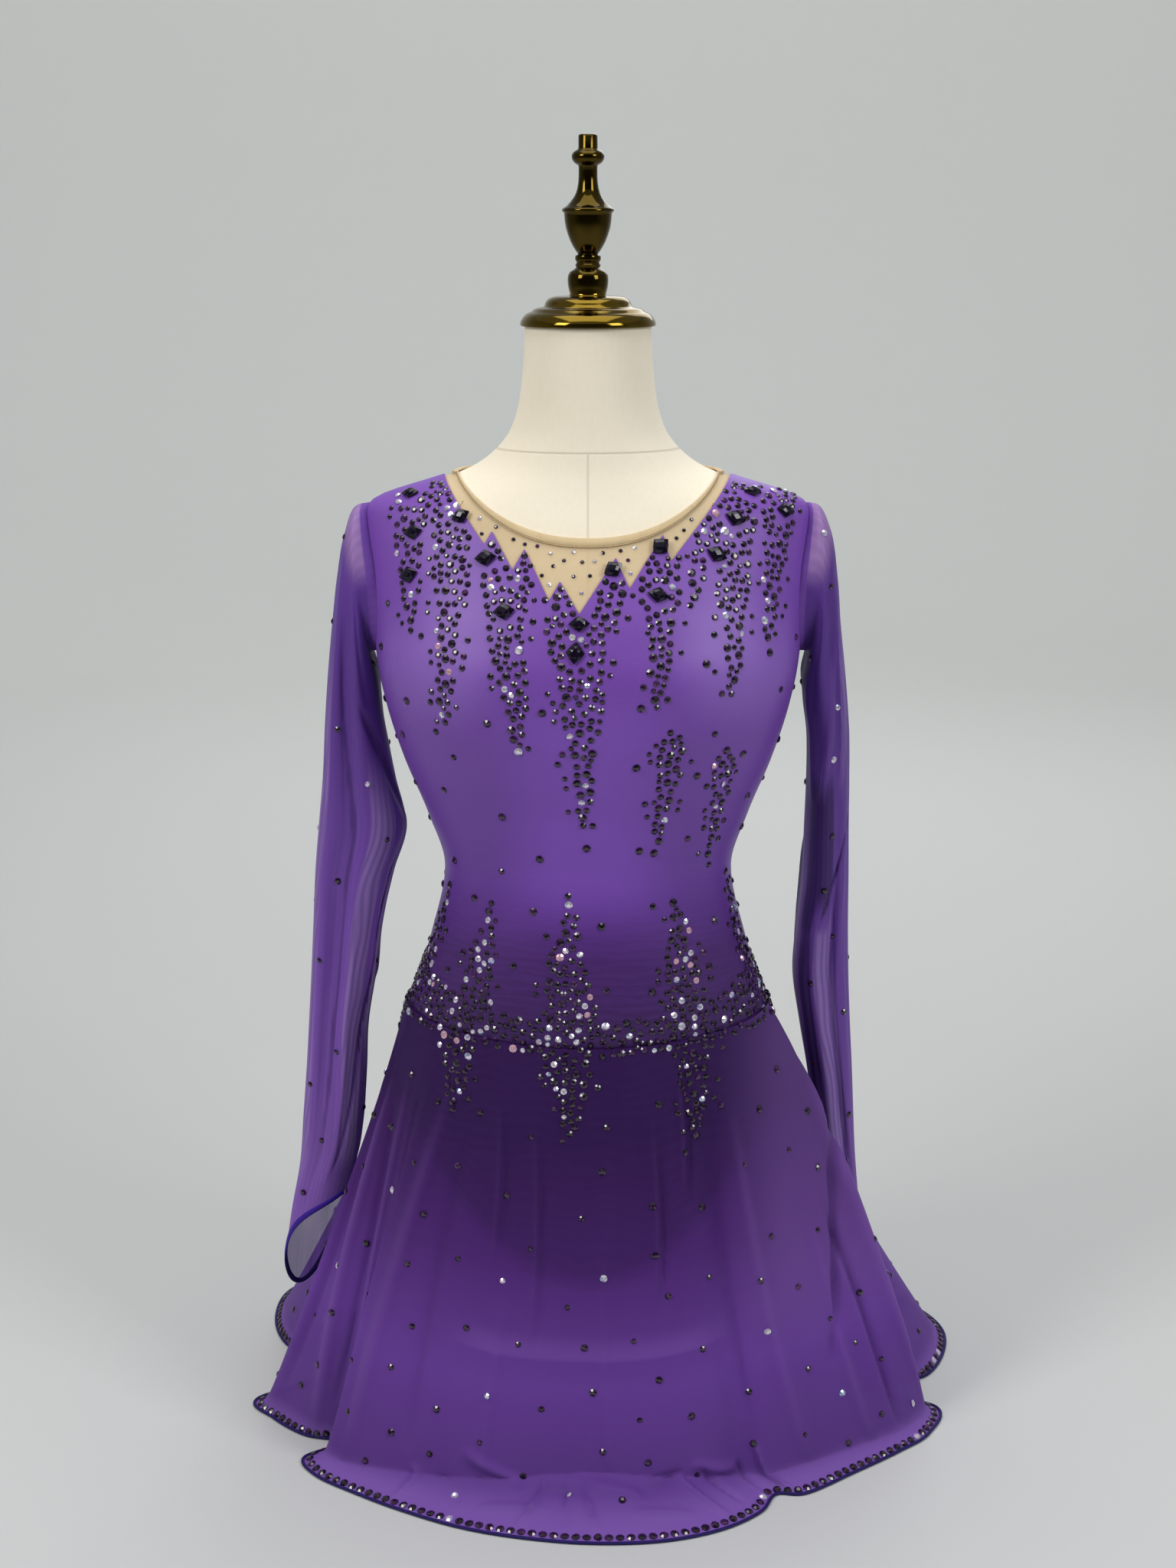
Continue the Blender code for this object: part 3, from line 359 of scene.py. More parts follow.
def turned_out(mesh):
    """Points every face of a closed shell outwards."""
    shape = bmesh.new()
    shape.from_mesh(mesh)
    bmesh.ops.recalc_face_normals(shape, faces=shape.faces)
    shape.to_mesh(mesh)
    shape.free()


def grid_places(rows, columns):
    """Row and column of every face of a grid, row by row."""
    return (a.ravel() for a in np.meshgrid(np.arange(rows), np.arange(columns), indexing="ij"))


# %% Sheets and shells
def grid_object(name, layers, look, ring=False, folded=None):
    """A mesh from one grid of points, or a closed shell from inner and outer."""
    rows, columns = layers[0].shape[:2]
    spans = columns if ring else columns - 1
    r, c = grid_places(rows - 1, spans)
    quad = np.stack([np.stack([r, c]), np.stack([r, c + 1]),
                     np.stack([r + 1, c + 1]), np.stack([r + 1, c])])
    if not faces_out(layers[-1], ring):
        quad = quad[::-1]
    top = len(layers) - 1
    groups = [(np.full(quad.shape[::2], top), quad)]
    if top:
        groups.append((np.zeros(quad.shape[::2], int), quad[::-1]))
        lines = [(np.stack([np.full(spans, row), np.arange(spans)]),
                  np.stack([np.full(spans, row), np.arange(1, spans + 1)]))
                 for row in (0, rows - 1)]
        if not ring:
            lines += [(np.stack([np.arange(rows - 1), np.full(rows - 1, column)]),
                       np.stack([np.arange(1, rows), np.full(rows - 1, column)]))
                      for column in (0, columns - 1)]
        for first, second in lines:
            rim = np.stack([first, second, second, first])
            layer = np.array([0, 0, 1, 1])[:, None] + 0 * rim[:, 0]
            groups.append((layer, rim))
    layer = np.concatenate([g[0].T for g in groups]).astype(int)
    place = np.concatenate([g[1].transpose(2, 0, 1) for g in groups])
    index = layer * rows * columns + place[..., 0] * columns + place[..., 1] % columns
    mesh = bpy.data.meshes.new(name)
    points = np.concatenate([grid.reshape(-1, 3) for grid in layers])
    mesh.from_pydata(points.tolist(), [], index.tolist())
    across = run_lengths(layers[-1][rows // 2], ring)
    along = run_lengths(layers[-1][:, columns // 2], False)
    flat = np.stack([across[place[..., 1]], along[place[..., 0]]], axis=-1)
    cut = mesh.uv_layers.new(name="cut")
    cut.data.foreach_set("uv", flat.ravel())
    if folded is not None:
        lies = mesh.attributes.new("folded", "FLOAT", "POINT")
        lies.data.foreach_set("value", np.ravel(folded).astype(np.float32))
    if top:
        turned_out(mesh)
    return finished(name, mesh, look)


def linked(name, mesh):
    """An object at the origin that shows a mesh."""
    thing = bpy.data.objects.new(name, mesh)
    scene.collection.objects.link(thing)
    return thing


def finished(name, mesh, look, sharp=40):
    """A smooth shaded object with its material; edges above an angle stay sharp."""
    mesh.materials.append(look.material)
    mesh.shade_smooth()
    mesh.set_sharp_from_angle(angle=math.radians(sharp))
    return linked(name, mesh)


# %% Tubes and turned bodies
def tube_faces(rows, sides, closed=False):
    """The faces of a tube of rings; a closed tube also meets its own start."""
    r, c = grid_places(rows if closed else rows - 1, sides)
    here, above, beside = r * sides, (r + 1) % rows * sides, (c + 1) % sides
    return np.stack([here + c, here + beside, above + beside, above + c], axis=-1)


def turned(radii, levels, sides):
    """Rings of a body turned on a lathe, one for each point of its profile."""
    turn = np.linspace(0, 2 * np.pi, sides, endpoint=False)
    return np.stack([radii[:, None] * np.cos(turn), radii[:, None] * np.sin(turn),
                     levels[:, None] + 0 * turn], axis=-1)


def tube(name, rings, look, sharp=40, capped=True):
    """A turned or lofted body from rings of points, first ring lowest."""
    count, sides = rings.shape[:2]
    last = (count - 1) * sides
    ends = [list(range(sides))[::-1], [last + k for k in range(sides)]]
    faces = tube_faces(count, sides).tolist() + (ends if capped else [])
    mesh = bpy.data.meshes.new(name)
    mesh.from_pydata(rings.reshape(-1, 3).tolist(), [], faces)
    return finished(name, mesh, look, sharp)


def triangles(thing):
    return sum(len(p.vertices) - 2 for p in thing.data.polygons)


# %% [markdown]
# ## The form's linen
# The torso is padded and covered in off-white linen. Its shape is the CAD
# section table again, in rings close enough to look round. The seams are part
# of the cloth: one round the base of the neck and one down the centre front.

# %% Linen
NECK_SEAM_HEIGHT = 0.8585
SEAM_LINE = 0.0003
RING_SEAM_EDGE = 0.0013
FRONT_SEAM_EDGE = 0.0012
SEAM_END = 0.0005
LINEN_THREADS = 5200.0

linen = Finish("form_linen", Roughness=0.86, Sheen_Weight=0.15)
where = linen.place()
px, _, pz = linen.numbers(where)
thread = (px * LINEN_THREADS).sine() * (pz * LINEN_THREADS).sine()
slub = linen.noise(where, 420.0, 3.0, (1.0, 1.0, 0.25))
soil = linen.noise(where, 9.0)
above_seam = pz - NECK_SEAM_HEIGHT
ring_seam = abs(above_seam).fade(SEAM_LINE, RING_SEAM_EDGE)
front_seam = abs(px).fade(SEAM_LINE, FRONT_SEAM_EDGE) * above_seam.fade(0.0, SEAM_END)
seams = ring_seam.most(front_seam)
tone = (slub * 0.35 + soil * 0.65).least(1.0)
cloth = linen.blend(tone, dye(248, 241, 222), dye(231, 219, 195))
cloth = linen.blend(seams * 0.28, cloth, dye(150, 138, 118))
linen.feed("Base Color", cloth)
linen.bump(thread * 0.2 + slub * 0.5 - seams * 2.2, 0.35, 0.0006)

FORM_COLUMNS = 150
SHOWN_FROM = 0.40
hidden = np.linspace(TORSO[0].z, SHOWN_FROM, 30)[:-1]
shown = np.linspace(SHOWN_FROM, NECK_TOP, 150)
form_angles = np.linspace(0, 360, FORM_COLUMNS, endpoint=False)
form_rings = torso_point(form_angles, np.concatenate([hidden, shown])[:, None])
form_cloth = tube("form_cloth", form_rings, linen)
print("form:", triangles(form_cloth), "triangles")

# %% [markdown]
# ## Plinth and finial
# The plinth is a low block under plain cloth, so its CAD solid stays and only
# gets the cloth. The cap and finial are one turning in polished brass. More
# sides and more points along the profile give it the clean rings of a lathe.

# %% Plinth cloth
cover = Finish("plinth_cover", Roughness=0.85)
where = cover.place()
grain = cover.noise(where, 600.0)
drift = cover.noise(where, 12.0)
cover.feed("Base Color", cover.blend(drift, dye(240, 240, 238), dye(222, 222, 220)))
cover.bump(grain + drift * 2.0, 0.25, 0.0006)

# %% Brass finial
Turning = namedtuple("Turning", "radius z")
FINIAL_PROFILE = table(Turning, (
    (0.0000, 1.1012), (0.0058, 1.1011), (0.0070, 1.1006), (0.0076, 1.0998), (0.0076, 1.0905),
    (0.0080, 1.0897), (0.0100, 1.0885), (0.0118, 1.0872), (0.0128, 1.0852), (0.0129, 1.0838),
    (0.0126, 1.0822), (0.0116, 1.0803), (0.0098, 1.0786), (0.0080, 1.0777), (0.0074, 1.0768),
    (0.0074, 1.0690), (0.0077, 1.0645), (0.0085, 1.0600), (0.0098, 1.0560), (0.0117, 1.0528),
    (0.0142, 1.0496), (0.0165, 1.0471), (0.0186, 1.0456), (0.0199, 1.0449), (0.0206, 1.0437),
    (0.0202, 1.0424), (0.0190, 1.0415), (0.0188, 1.0395), (0.0184, 1.0350), (0.0175, 1.0298),
    (0.0160, 1.0250), (0.0141, 1.0200), (0.0119, 1.0158), (0.0097, 1.0124), (0.0081, 1.0103),
    (0.0084, 1.0096), (0.0099, 1.0088), (0.0103, 1.0068), (0.0099, 1.0049), (0.0090, 1.0038),
    (0.0094, 1.0028), (0.0101, 1.0018), (0.0095, 0.9997), (0.0112, 0.9982), (0.0145, 0.9962),
    (0.0158, 0.9935), (0.0162, 0.9900), (0.0159, 0.9862), (0.0153, 0.9830), (0.0143, 0.9794),
    (0.0150, 0.9783), (0.0185, 0.9779), (0.0250, 0.9776), (0.0290, 0.9768), (0.0320, 0.9750),
    (0.0338, 0.9726), (0.0346, 0.9700), (0.0362, 0.9691), (0.0400, 0.9686), (0.0432, 0.9674),
    (0.0447, 0.9657), (0.0466, 0.9651), (0.0492, 0.9638), (0.0512, 0.9618), (0.0530, 0.9592),
    (0.0540, 0.9565), (0.0536, 0.9547), (0.0525, 0.9543),
))
TURNED_SIDES = 112
TIP_RADIUS = 0.0002
CAP_TOP = 0.978

brass = Finish("polished_brass", Metallic=1.0)
where = brass.place()
pz = brass.numbers(where)[2]
cloudy = brass.noise(where, 60.0, 3.0)
scratch = brass.noise(where, 900.0, 2.0, (1.0, 1.0, 9.0))
metal = brass.blend(cloudy, dye(122, 101, 38), dye(100, 80, 24))
# Painted dark reflection: above the cap the brass is painted darker, standing in for the dark room
# that the urn would reflect.
urn_painted_dark_reflection = (pz - CAP_TOP).smooth(0.0, 0.008)
brass.feed("Base Color", brass.blend(urn_painted_dark_reflection * 0.9, metal, dye(66, 54, 21)))
brass.feed("Roughness", cloudy * 0.05 + scratch * 0.04 + 0.04)
brass.bump(scratch, 0.06, 0.0002)

radii, levels = np.array(FINIAL_PROFILE[::-1]).T
finial_rings = turned(np.maximum(radii, TIP_RADIUS), levels, TURNED_SIDES)
finial = tube("brass_finial", finial_rings, brass, sharp=50)
print("finial:", triangles(finial), "triangles")

# %% [markdown]
# ## Cut lines on the body
# The armhole, the neckline, the pointed yoke edge and the dropped waist are
# lines on the form. They are the CAD's own lines, read at as many places as a
# fine mesh needs.

# %% Cut lines
WALL = 0.0012
BODY_CLEARANCE = 0.0018
SEAM_HEIGHT_FRONT = 0.386
SEAM_SIDE_RISE = 0.012
NECKLINE_CENTRE = 0.7950
NECKLINE_BACK = 0.8405
NECKLINE_SIDE = 0.8395
NECKLINE_HALF_WIDTH = 0.104
NECK_BINDING_WIDTH = 0.0068
BACK_YOKE_CENTRE = 0.725
BACK_YOKE_SIDE = 0.781
ARMHOLE_MIDDLE = 0.7545
ARMHOLE_HALF_HEIGHT = 0.0605
ARMHOLE_FRONT_ANGLE = 17.5
ARMHOLE_BACK_ANGLE = 20.0
SIDE_RADIUS = 0.105
ROW_SPACING = 0.0035
Point = namedtuple("Point", "x z")
YOKE_EDGE = table(Point, (
    (-0.1140, 0.8351), (-0.0804, 0.7890), (-0.0743, 0.7990), (-0.0582, 0.7710),
    (-0.0489, 0.7865), (-0.0299, 0.7495), (-0.0215, 0.7635), (-0.0067, 0.7400),
    (0.0214, 0.7805), (0.0318, 0.7580), (0.0579, 0.7970), (0.0638, 0.7770), (0.1130, 0.8354),
))


def armhole_angle(z, widest, inset=0.0):
    """How far the armhole reaches from the side line at a height."""
    rise = np.clip((z - ARMHOLE_MIDDLE) / (ARMHOLE_HALF_HEIGHT - inset), -1, 1)
    return (widest - math.degrees(inset / SIDE_RADIUS)) * np.sqrt(1 - rise * rise)


def front_angle(share, z):
    return share * (90.0 - armhole_angle(z, ARMHOLE_FRONT_ANGLE))


def back_angle(share, z):
    return 180.0 + share * (90.0 - armhole_angle(z, ARMHOLE_BACK_ANGLE))


def seam_height(angle):
    """Height of the dropped waist round the body."""
    return SEAM_HEIGHT_FRONT + SEAM_SIDE_RISE * np.sin(np.radians(angle)) ** 2


def yoke_edge(x):
    """Height of the pointed edge of the bodice over the yoke."""
    return np.interp(x, [p.x for p in YOKE_EDGE], [p.z for p in YOKE_EDGE])


def neckline(x, centre):
    t = np.minimum(np.abs(x) / NECKLINE_HALF_WIDTH, 1.0)
    return NECKLINE_SIDE - (NECKLINE_SIDE - centre) * (1 - t ** 2.3) ** 0.92


def back_yoke_edge(x):
    t = np.minimum(np.abs(x) / HALF_WIDTH(BACK_YOKE_SIDE), 1.0)
    return BACK_YOKE_CENTRE + (BACK_YOKE_SIDE - BACK_YOKE_CENTRE) * t ** 1.5


def binding_drop(x):
    t = np.minimum(np.abs(x) / NECKLINE_HALF_WIDTH, 1.0)
    return NECK_BINDING_WIDTH * (1.0 - 0.66 * t ** 3)


# %% Rows between two lines
def height_on_line(side, edge):
    """Where the upright lines of a side cross an edge given by its height."""
    low = np.full(len(side.shares), SEAM_HEIGHT_FRONT)
    high = np.full(len(side.shares), NECK_TOP)
    for _ in range(40):
        middle = (low + high) / 2
        under = middle < edge(torso_point(side.angle_at(side.shares, middle), middle)[:, 0])
        low, high = np.where(under, middle, low), np.where(under, high, middle)
    return (low + high) / 2


def front_shares(finest=0.012):
    """Shares of the front's half width, with a line at each point of the yoke."""
    marks = [-1.0]
    for point in YOKE_EDGE[1:-1]:
        turn = math.degrees(math.asin(point.x / HALF_WIDTH(point.z)))
        marks.append(turn / front_angle(1.0, point.z))
    marks.append(1.0)
    shares = []
    for here, there in zip(marks, marks[1:]):
        count = max(3, round((there - here) / finest))
        shares += [here + (there - here) * k / count for k in range(count)]
    return np.array(shares + [1.0])


def body_levels(low, high):
    """Levels of a panel's rows: even rows, closer beside the armhole's ends."""
    arm = ARMHOLE_MIDDLE + ARMHOLE_HALF_HEIGHT * np.cos(np.linspace(0, np.pi, 60))
    below = min(max(arm[-1], low), high)
    heights = list(np.linspace(low, below, max(2, round((below - low) / ROW_SPACING)))[:-1])
    heights += [z for z in arm[::-1] if low < z < high]
    heights += list(np.linspace(max(heights[-1], below) + 0.001, high, 6))
    return (np.unique(heights) - low) / (high - low)


Side = namedtuple("Side", "shares angle_at bodice_edge neck_centre")
FRONT = Side(front_shares(), front_angle, yoke_edge, NECKLINE_CENTRE)
BACK = Side(np.linspace(-1, 1, 121), back_angle, back_yoke_edge, NECKLINE_BACK)


def rows_between(side, low, high, levels=None):
    """Angles and heights of a panel's points, from its low line to its high one."""
    if levels is None:
        levels = body_levels(low[0], high[0])
    z = low + levels[:, None] * (high - low)
    return side.angle_at(side.shares, z), z


print("upright lines:", len(FRONT.shares), "in front,", len(BACK.shares), "behind")


# %% [markdown]
# ## Stretch bodice
# A knitted stretch cloth in bright violet, dyed darker towards the hip. It is
# smooth because it is stretched over the form, with only faint pulls under the
# arms and at the waist. The dye and those pulls both follow the height. Its
# colour also holds a painted highlight on each side of the bust and painted
# light down the middle of the waist.

# %% Violet stretch cloth
DYE_TOP = 0.86
BUST_HIGHLIGHT_SIDE = 0.118
BUST_HIGHLIGHT_HEIGHT = 0.700
BUST_HIGHLIGHT_CORE, BUST_HIGHLIGHT_REACH = 0.01, 0.065
WAIST_LIGHT_LOW, WAIST_LIGHT_HIGH = (0.47, 0.53), (0.64, 0.70)
WAIST_LIGHT_SIDE = (0.02, 0.085)
WALES = 7400.0
COURSES = 5200.0
SHIMMER_BANDS = 900.0

violet = Finish("violet_stretch", Roughness=0.44, Specular_IOR_Level=0.42, Sheen_Weight=0.10,
                Sheen_Roughness=0.4, Sheen_Tint=dye(190, 160, 255))
where = violet.place()
px, _, pz = violet.numbers(where)
dyed = violet.ramp(pz / DYE_TOP, dyes(
    (0.20, (30, 12, 50)), (0.46, (54, 20, 84)), (0.53, (70, 29, 106)),
    (0.60, (103, 57, 156)), (0.72, (117, 70, 170)), (1.0, (122, 76, 173))))
knit = (px * WALES).sine() * 0.5 + (pz * COURSES).sine() * 0.5
shimmer = violet.noise(where, 26.0, 2.0, (1.0, 1.0, 5.5))
bands = (pz * SHIMMER_BANDS + shimmer * 16.0).wave() * violet.noise(where, 8.0)
blotch = violet.noise(where, 34.0, 3.0)
shade = violet.blend(bands * 0.12, dyed, dye(124, 72, 184))
# Painted highlight: the colour turns paler on each side of the bust, where the sheen of the
# stretched cloth catches the lights.
from_bust_highlight = ((abs(px) - BUST_HIGHLIGHT_SIDE) ** 2.0 + (pz - BUST_HIGHLIGHT_HEIGHT) ** 2.0) ** 0.5
shade = violet.blend(from_bust_highlight.fade(BUST_HIGHLIGHT_CORE, BUST_HIGHLIGHT_REACH) * 0.60, shade, dye(152, 114, 204))
# Painted light: the middle of the waist is painted lighter, where the lights from the sides leave
# it darker than the flanks.
waist = pz.smooth(*WAIST_LIGHT_LOW) * pz.fade(*WAIST_LIGHT_HIGH) * abs(px).fade(*WAIST_LIGHT_SIDE)
shade = violet.blend(waist * 0.55, shade, dye(136, 84, 200))
violet.feed("Base Color", violet.blend(blotch * 0.08, shade, dye(58, 30, 104)))
violet.bump(knit * 0.3 + blotch, 0.12, 0.0006)

# %% Bodice shells
Pull = namedtuple("Pull", "angle z turn length width depth")
PULLS = table(Pull, (
    (-62, 0.700, 24, 0.060, 0.0045, 0.0009), (-70, 0.688, 38, 0.055, 0.0040, 0.0008),
    (63, 0.702, -22, 0.060, 0.0045, 0.0009), (71, 0.686, -36, 0.055, 0.0040, 0.0008),
    (-58, 0.517, 84, 0.060, 0.0060, 0.0006), (57, 0.506, -82, 0.060, 0.0060, 0.0006),
    (-25, 0.520, 86, 0.070, 0.0070, 0.0004), (30, 0.528, -87, 0.070, 0.0070, 0.0004),
    (118, 0.690, 30, 0.070, 0.0050, 0.0010), (-121, 0.694, -32, 0.070, 0.0050, 0.0010),
    (150, 0.505, 80, 0.090, 0.0060, 0.0009), (-148, 0.512, -84, 0.090, 0.0060, 0.0009),
    (172, 0.520, 88, 0.080, 0.0070, 0.0007), (-168, 0.498, -88, 0.080, 0.0070, 0.0007),
))


def pulled(angle, z):
    """Faint ridges of cloth under tension, as an extra distance out."""
    extra = np.zeros(np.broadcast(angle, z).shape)
    for pull in PULLS:
        turn = math.radians(pull.turn)
        apart = (np.asarray(angle) - pull.angle + 180.0) % 360.0 - 180.0
        across = np.radians(apart) * 0.13
        rise = z - pull.z
        along = across * math.sin(turn) + rise * math.cos(turn)
        off = across * math.cos(turn) - rise * math.sin(turn)
        extra += pull.depth * np.exp(-(off / pull.width) ** 2 - (along / pull.length * 2) ** 2)
    return extra


BODICE_OUT = 0.0022
BODICE_WALL = 0.0008


def stretched(name, angle, z, pull=0.0):
    """A closed shell of stretch cloth on the body, over a grid of angles and heights."""
    layers = [worn_point(angle, z, BODICE_OUT + pull + thick) for thick in (0.0, BODICE_WALL)]
    return grid_object(name, layers, violet)


def bodice_panel(name, side):
    """Half a bodice, from the dropped waist to the edge of the yoke."""
    low = seam_height(side.angle_at(side.shares, SEAM_HEIGHT_FRONT))
    angle, z = rows_between(side, low, height_on_line(side, side.bodice_edge))
    return stretched(name, angle, z, pulled(angle, z))


bodice_front = bodice_panel("stretch_front", FRONT)
bodice_back = bodice_panel("stretch_back", BACK)
print("bodice:", triangles(bodice_front), triangles(bodice_back), "triangles")

# %% [markdown]
# ## Nude mesh yoke and its binding
# Fine net in a skin tone fills the neckline, so that the violet points seem to
# stand on skin. It is sheer: the linen and its centre seam show through. The
# neckline is finished with a folded band, stitched down along its lower edge.

# %% Net and band
NET_HOLES = 6000.0
BAND_RIBS = 2900.0

net = Finish("nude_mesh", Roughness=0.7, Sheen_Weight=0.2)
where = net.place()
px, _, pz = net.numbers(where)
holes = (px * NET_HOLES).sine() * (pz * NET_HOLES).sine()
patch = net.noise(where, 40.0)
net.feed("Base Color", net.blend(patch, dye(229, 206, 164), dye(219, 192, 148)))
net.feed("Alpha", patch * 0.10 + 0.60)
net.bump(holes + patch, 0.2, 0.0004)

band = Finish("nude_band", Roughness=0.62, Sheen_Weight=0.25)
where = band.cut_place()
ribs = (band.numbers(where)[0] * BAND_RIBS).sine()
worn = band.noise(where, 90.0)
band.feed("Base Color", band.blend(worn, dye(212, 190, 148), dye(196, 170, 126)))
band.bump(ribs * 0.8 + worn, 0.25, 0.0004)


UNDER_LAP = 0.004
UNDER_BAND = 0.6
NET_OUT = 0.0012


def neck_height(side, drop):
    """Height of the neckline on a side, lowered by a share of the band's width."""
    return height_on_line(side, lambda x: neckline(x, side.neck_centre) - drop * binding_drop(x))


def yoke_panel(name, side, levels=None):
    """A sheet of net that is tucked under the bodice's edge and under the band."""
    low = height_on_line(side, lambda x: side.bodice_edge(x) - UNDER_LAP)
    angle, z = rows_between(side, low, neck_height(side, UNDER_BAND), levels)
    return grid_object(name, [worn_point(angle, z, NET_OUT)], net)


def neck_line(drop, out):
    """The whole ring of the neckline, held off the form."""
    halves = []
    for side in (FRONT, BACK._replace(shares=BACK.shares[1:-1])):
        z = neck_height(side, drop)
        halves.append(worn_point(side.angle_at(side.shares, z), z, out))
    return np.concatenate(halves)


yoke_front = yoke_panel("net_front", FRONT, np.linspace(0, 1, 16))
yoke_back = yoke_panel("net_back", BACK)

BandRow = namedtuple("BandRow", "drop inner outer")
BAND_ROWS = table(BandRow, (
    (0.00, 0.0012, 0.0024), (0.12, 0.0010, 0.0032), (0.50, 0.0010, 0.0035),
    (0.82, 0.0010, 0.0032), (0.92, 0.0010, 0.0024), (1.00, 0.0010, 0.0028),
))
layers = [np.stack([neck_line(row.drop, getattr(row, face)) for row in BAND_ROWS])
          for face in ("inner", "outer")]
neck_band = grid_object("neck_band", layers, band, ring=True)
print("yoke:", triangles(yoke_front), triangles(yoke_back), "band:", triangles(neck_band))

# %% [markdown]
# ## Sleeves
# Each sleeve is a long tube of sheer violet mesh. It hangs empty, so it falls
# into long soft folds, and light bands of moire show where its two layers lie
# over each other. The table gives a ring for each height. Folds are then laid
# on as ridges and troughs that run down the sleeve.

# %% Sleeve rings
Ring = namedtuple("Ring", "outer_x outer_z inner_x inner_z y half_depth fold point")
LEFT_SLEEVE = table(Ring, (
    (0.1880, 0.8115, 0.1765, 0.6935, 0.000, 0.033, 0.000, 0.0),
    (0.1970, 0.7890, 0.1760, 0.6880, 0.000, 0.036, 0.002, 0.0),
    (0.2035, 0.7550, 0.1740, 0.6800, 0.000, 0.038, 0.005, 0.0),
    (0.2085, 0.7160, 0.1720, 0.6680, 0.001, 0.038, 0.008, 0.0),
    (0.2130, 0.6740, 0.1700, 0.6480, 0.002, 0.036, 0.010, 0.0),
    (0.2165, 0.6320, 0.1655, 0.6200, 0.003, 0.033, 0.010, 0.0),
    (0.2195, 0.5880, 0.1595, 0.5850, 0.005, 0.030, 0.008, 0.0),
    (0.2240, 0.5465, 0.1520, 0.5460, 0.007, 0.028, 0.006, 0.0),
    (0.2285, 0.5040, 0.1645, 0.5040, 0.011, 0.027, 0.008, 0.0),
    (0.2320, 0.4580, 0.1750, 0.4600, 0.017, 0.025, 0.010, 0.0),
    (0.2360, 0.4100, 0.1825, 0.4100, 0.025, 0.024, 0.010, 0.0),
    (0.2400, 0.3640, 0.1905, 0.3640, 0.031, 0.023, 0.009, 0.0),
    (0.2440, 0.3200, 0.1935, 0.3210, 0.036, 0.022, 0.008, 0.0),
    (0.2485, 0.2800, 0.1965, 0.2820, 0.040, 0.022, 0.006, 0.08),
    (0.2535, 0.2400, 0.2010, 0.2470, 0.044, 0.021, 0.004, 0.30),
    (0.2630, 0.2040, 0.2060, 0.2240, 0.047, 0.021, 0.002, 0.65),
    (0.2695, 0.1740, 0.2095, 0.2070, 0.049, 0.021, 0.000, 1.00),
))
RIGHT_SLEEVE = table(Ring, (
    (0.1870, 0.8120, 0.1790, 0.6935, 0.000, 0.033, 0.000, 0.0),
    (0.1960, 0.7930, 0.1790, 0.6880, 0.000, 0.036, 0.002, 0.0),
    (0.2015, 0.7600, 0.1780, 0.6800, 0.000, 0.038, 0.005, 0.0),
    (0.2055, 0.7200, 0.1760, 0.6680, 0.001, 0.038, 0.007, 0.0),
    (0.2105, 0.6760, 0.1770, 0.6500, 0.002, 0.037, 0.006, 0.0),
    (0.2145, 0.6320, 0.1805, 0.6250, 0.004, 0.036, 0.004, 0.0),
    (0.2160, 0.5860, 0.1815, 0.5840, 0.007, 0.035, 0.004, 0.0),
    (0.2170, 0.5440, 0.1810, 0.5440, 0.011, 0.034, 0.005, 0.0),
    (0.2185, 0.5020, 0.1805, 0.5020, 0.016, 0.033, 0.006, 0.0),
    (0.2200, 0.4570, 0.1775, 0.4580, 0.023, 0.031, 0.008, 0.0),
    (0.2225, 0.4100, 0.1755, 0.4100, 0.031, 0.028, 0.010, 0.0),
    (0.2255, 0.3640, 0.1825, 0.3640, 0.036, 0.026, 0.010, 0.0),
    (0.2290, 0.3200, 0.1905, 0.3200, 0.040, 0.023, 0.008, 0.0),
    (0.2320, 0.2800, 0.1960, 0.2820, 0.043, 0.021, 0.006, 0.08),
    (0.2350, 0.2450, 0.2000, 0.2500, 0.044, 0.020, 0.004, 0.25),
    (0.2385, 0.2150, 0.2040, 0.2260, 0.043, 0.019, 0.002, 0.40),
    (0.2410, 0.1900, 0.2080, 0.2070, 0.042, 0.018, 0.000, 0.60),
))
CUFF_POINT_DROP = 0.075
CUFF_POINT_ANGLE = -58.0
SLEEVE_FOLD_ANGLE = 72.0
SLEEVE_FOLD_WIDTH = 20.0
SLEEVE_SIDES = 120
SLEEVE_ROWS = 220
SLEEVE_DEGREE = 0.0006
SLEEVE_RUN = 0.62
ARMHOLE_INSET = 0.0010
print("sleeve rings:", len(LEFT_SLEEVE), "left,", len(RIGHT_SLEEVE), "right")


# %% From rings to a sleeve
def armhole_ring(side, turn, inset):
    """The armhole's points, from its top down the front and up the back."""
    z = ARMHOLE_MIDDLE + (ARMHOLE_HALF_HEIGHT - inset) * np.cos(turn)
    front = turn <= np.pi
    reach = np.where(front, armhole_angle(z, ARMHOLE_FRONT_ANGLE, inset),
                     -armhole_angle(z, ARMHOLE_BACK_ANGLE, inset))
    return worn_point(side * (90.0 - reach), z, BODY_CLEARANCE)


def sleeve_ring(ring, side, turn):
    """One ring of a sleeve: a turn of 0 is the outer point, a quarter the front."""
    outer = np.array([side * ring.outer_x, 0, ring.outer_z])
    inner = np.array([side * ring.inner_x, 0, ring.inner_z])
    half = np.linalg.norm(outer - inner) / 2
    across = (outer - inner) / (2 * half)
    degrees = np.degrees(turn)
    dent = ring.fold * np.exp(-((degrees - SLEEVE_FOLD_ANGLE) / SLEEVE_FOLD_WIDTH) ** 2)
    points = (outer + inner) / 2 + across * (half * np.cos(turn))[:, None]
    points[:, 1] = ring.y - ring.half_depth * np.sin(turn) + dent
    past = np.radians(np.where(degrees < 180, degrees, degrees - 360) - CUFF_POINT_ANGLE)
    points[:, 2] -= ring.point * CUFF_POINT_DROP * (0.5 + 0.5 * np.cos(past)) ** 2.2
    return points


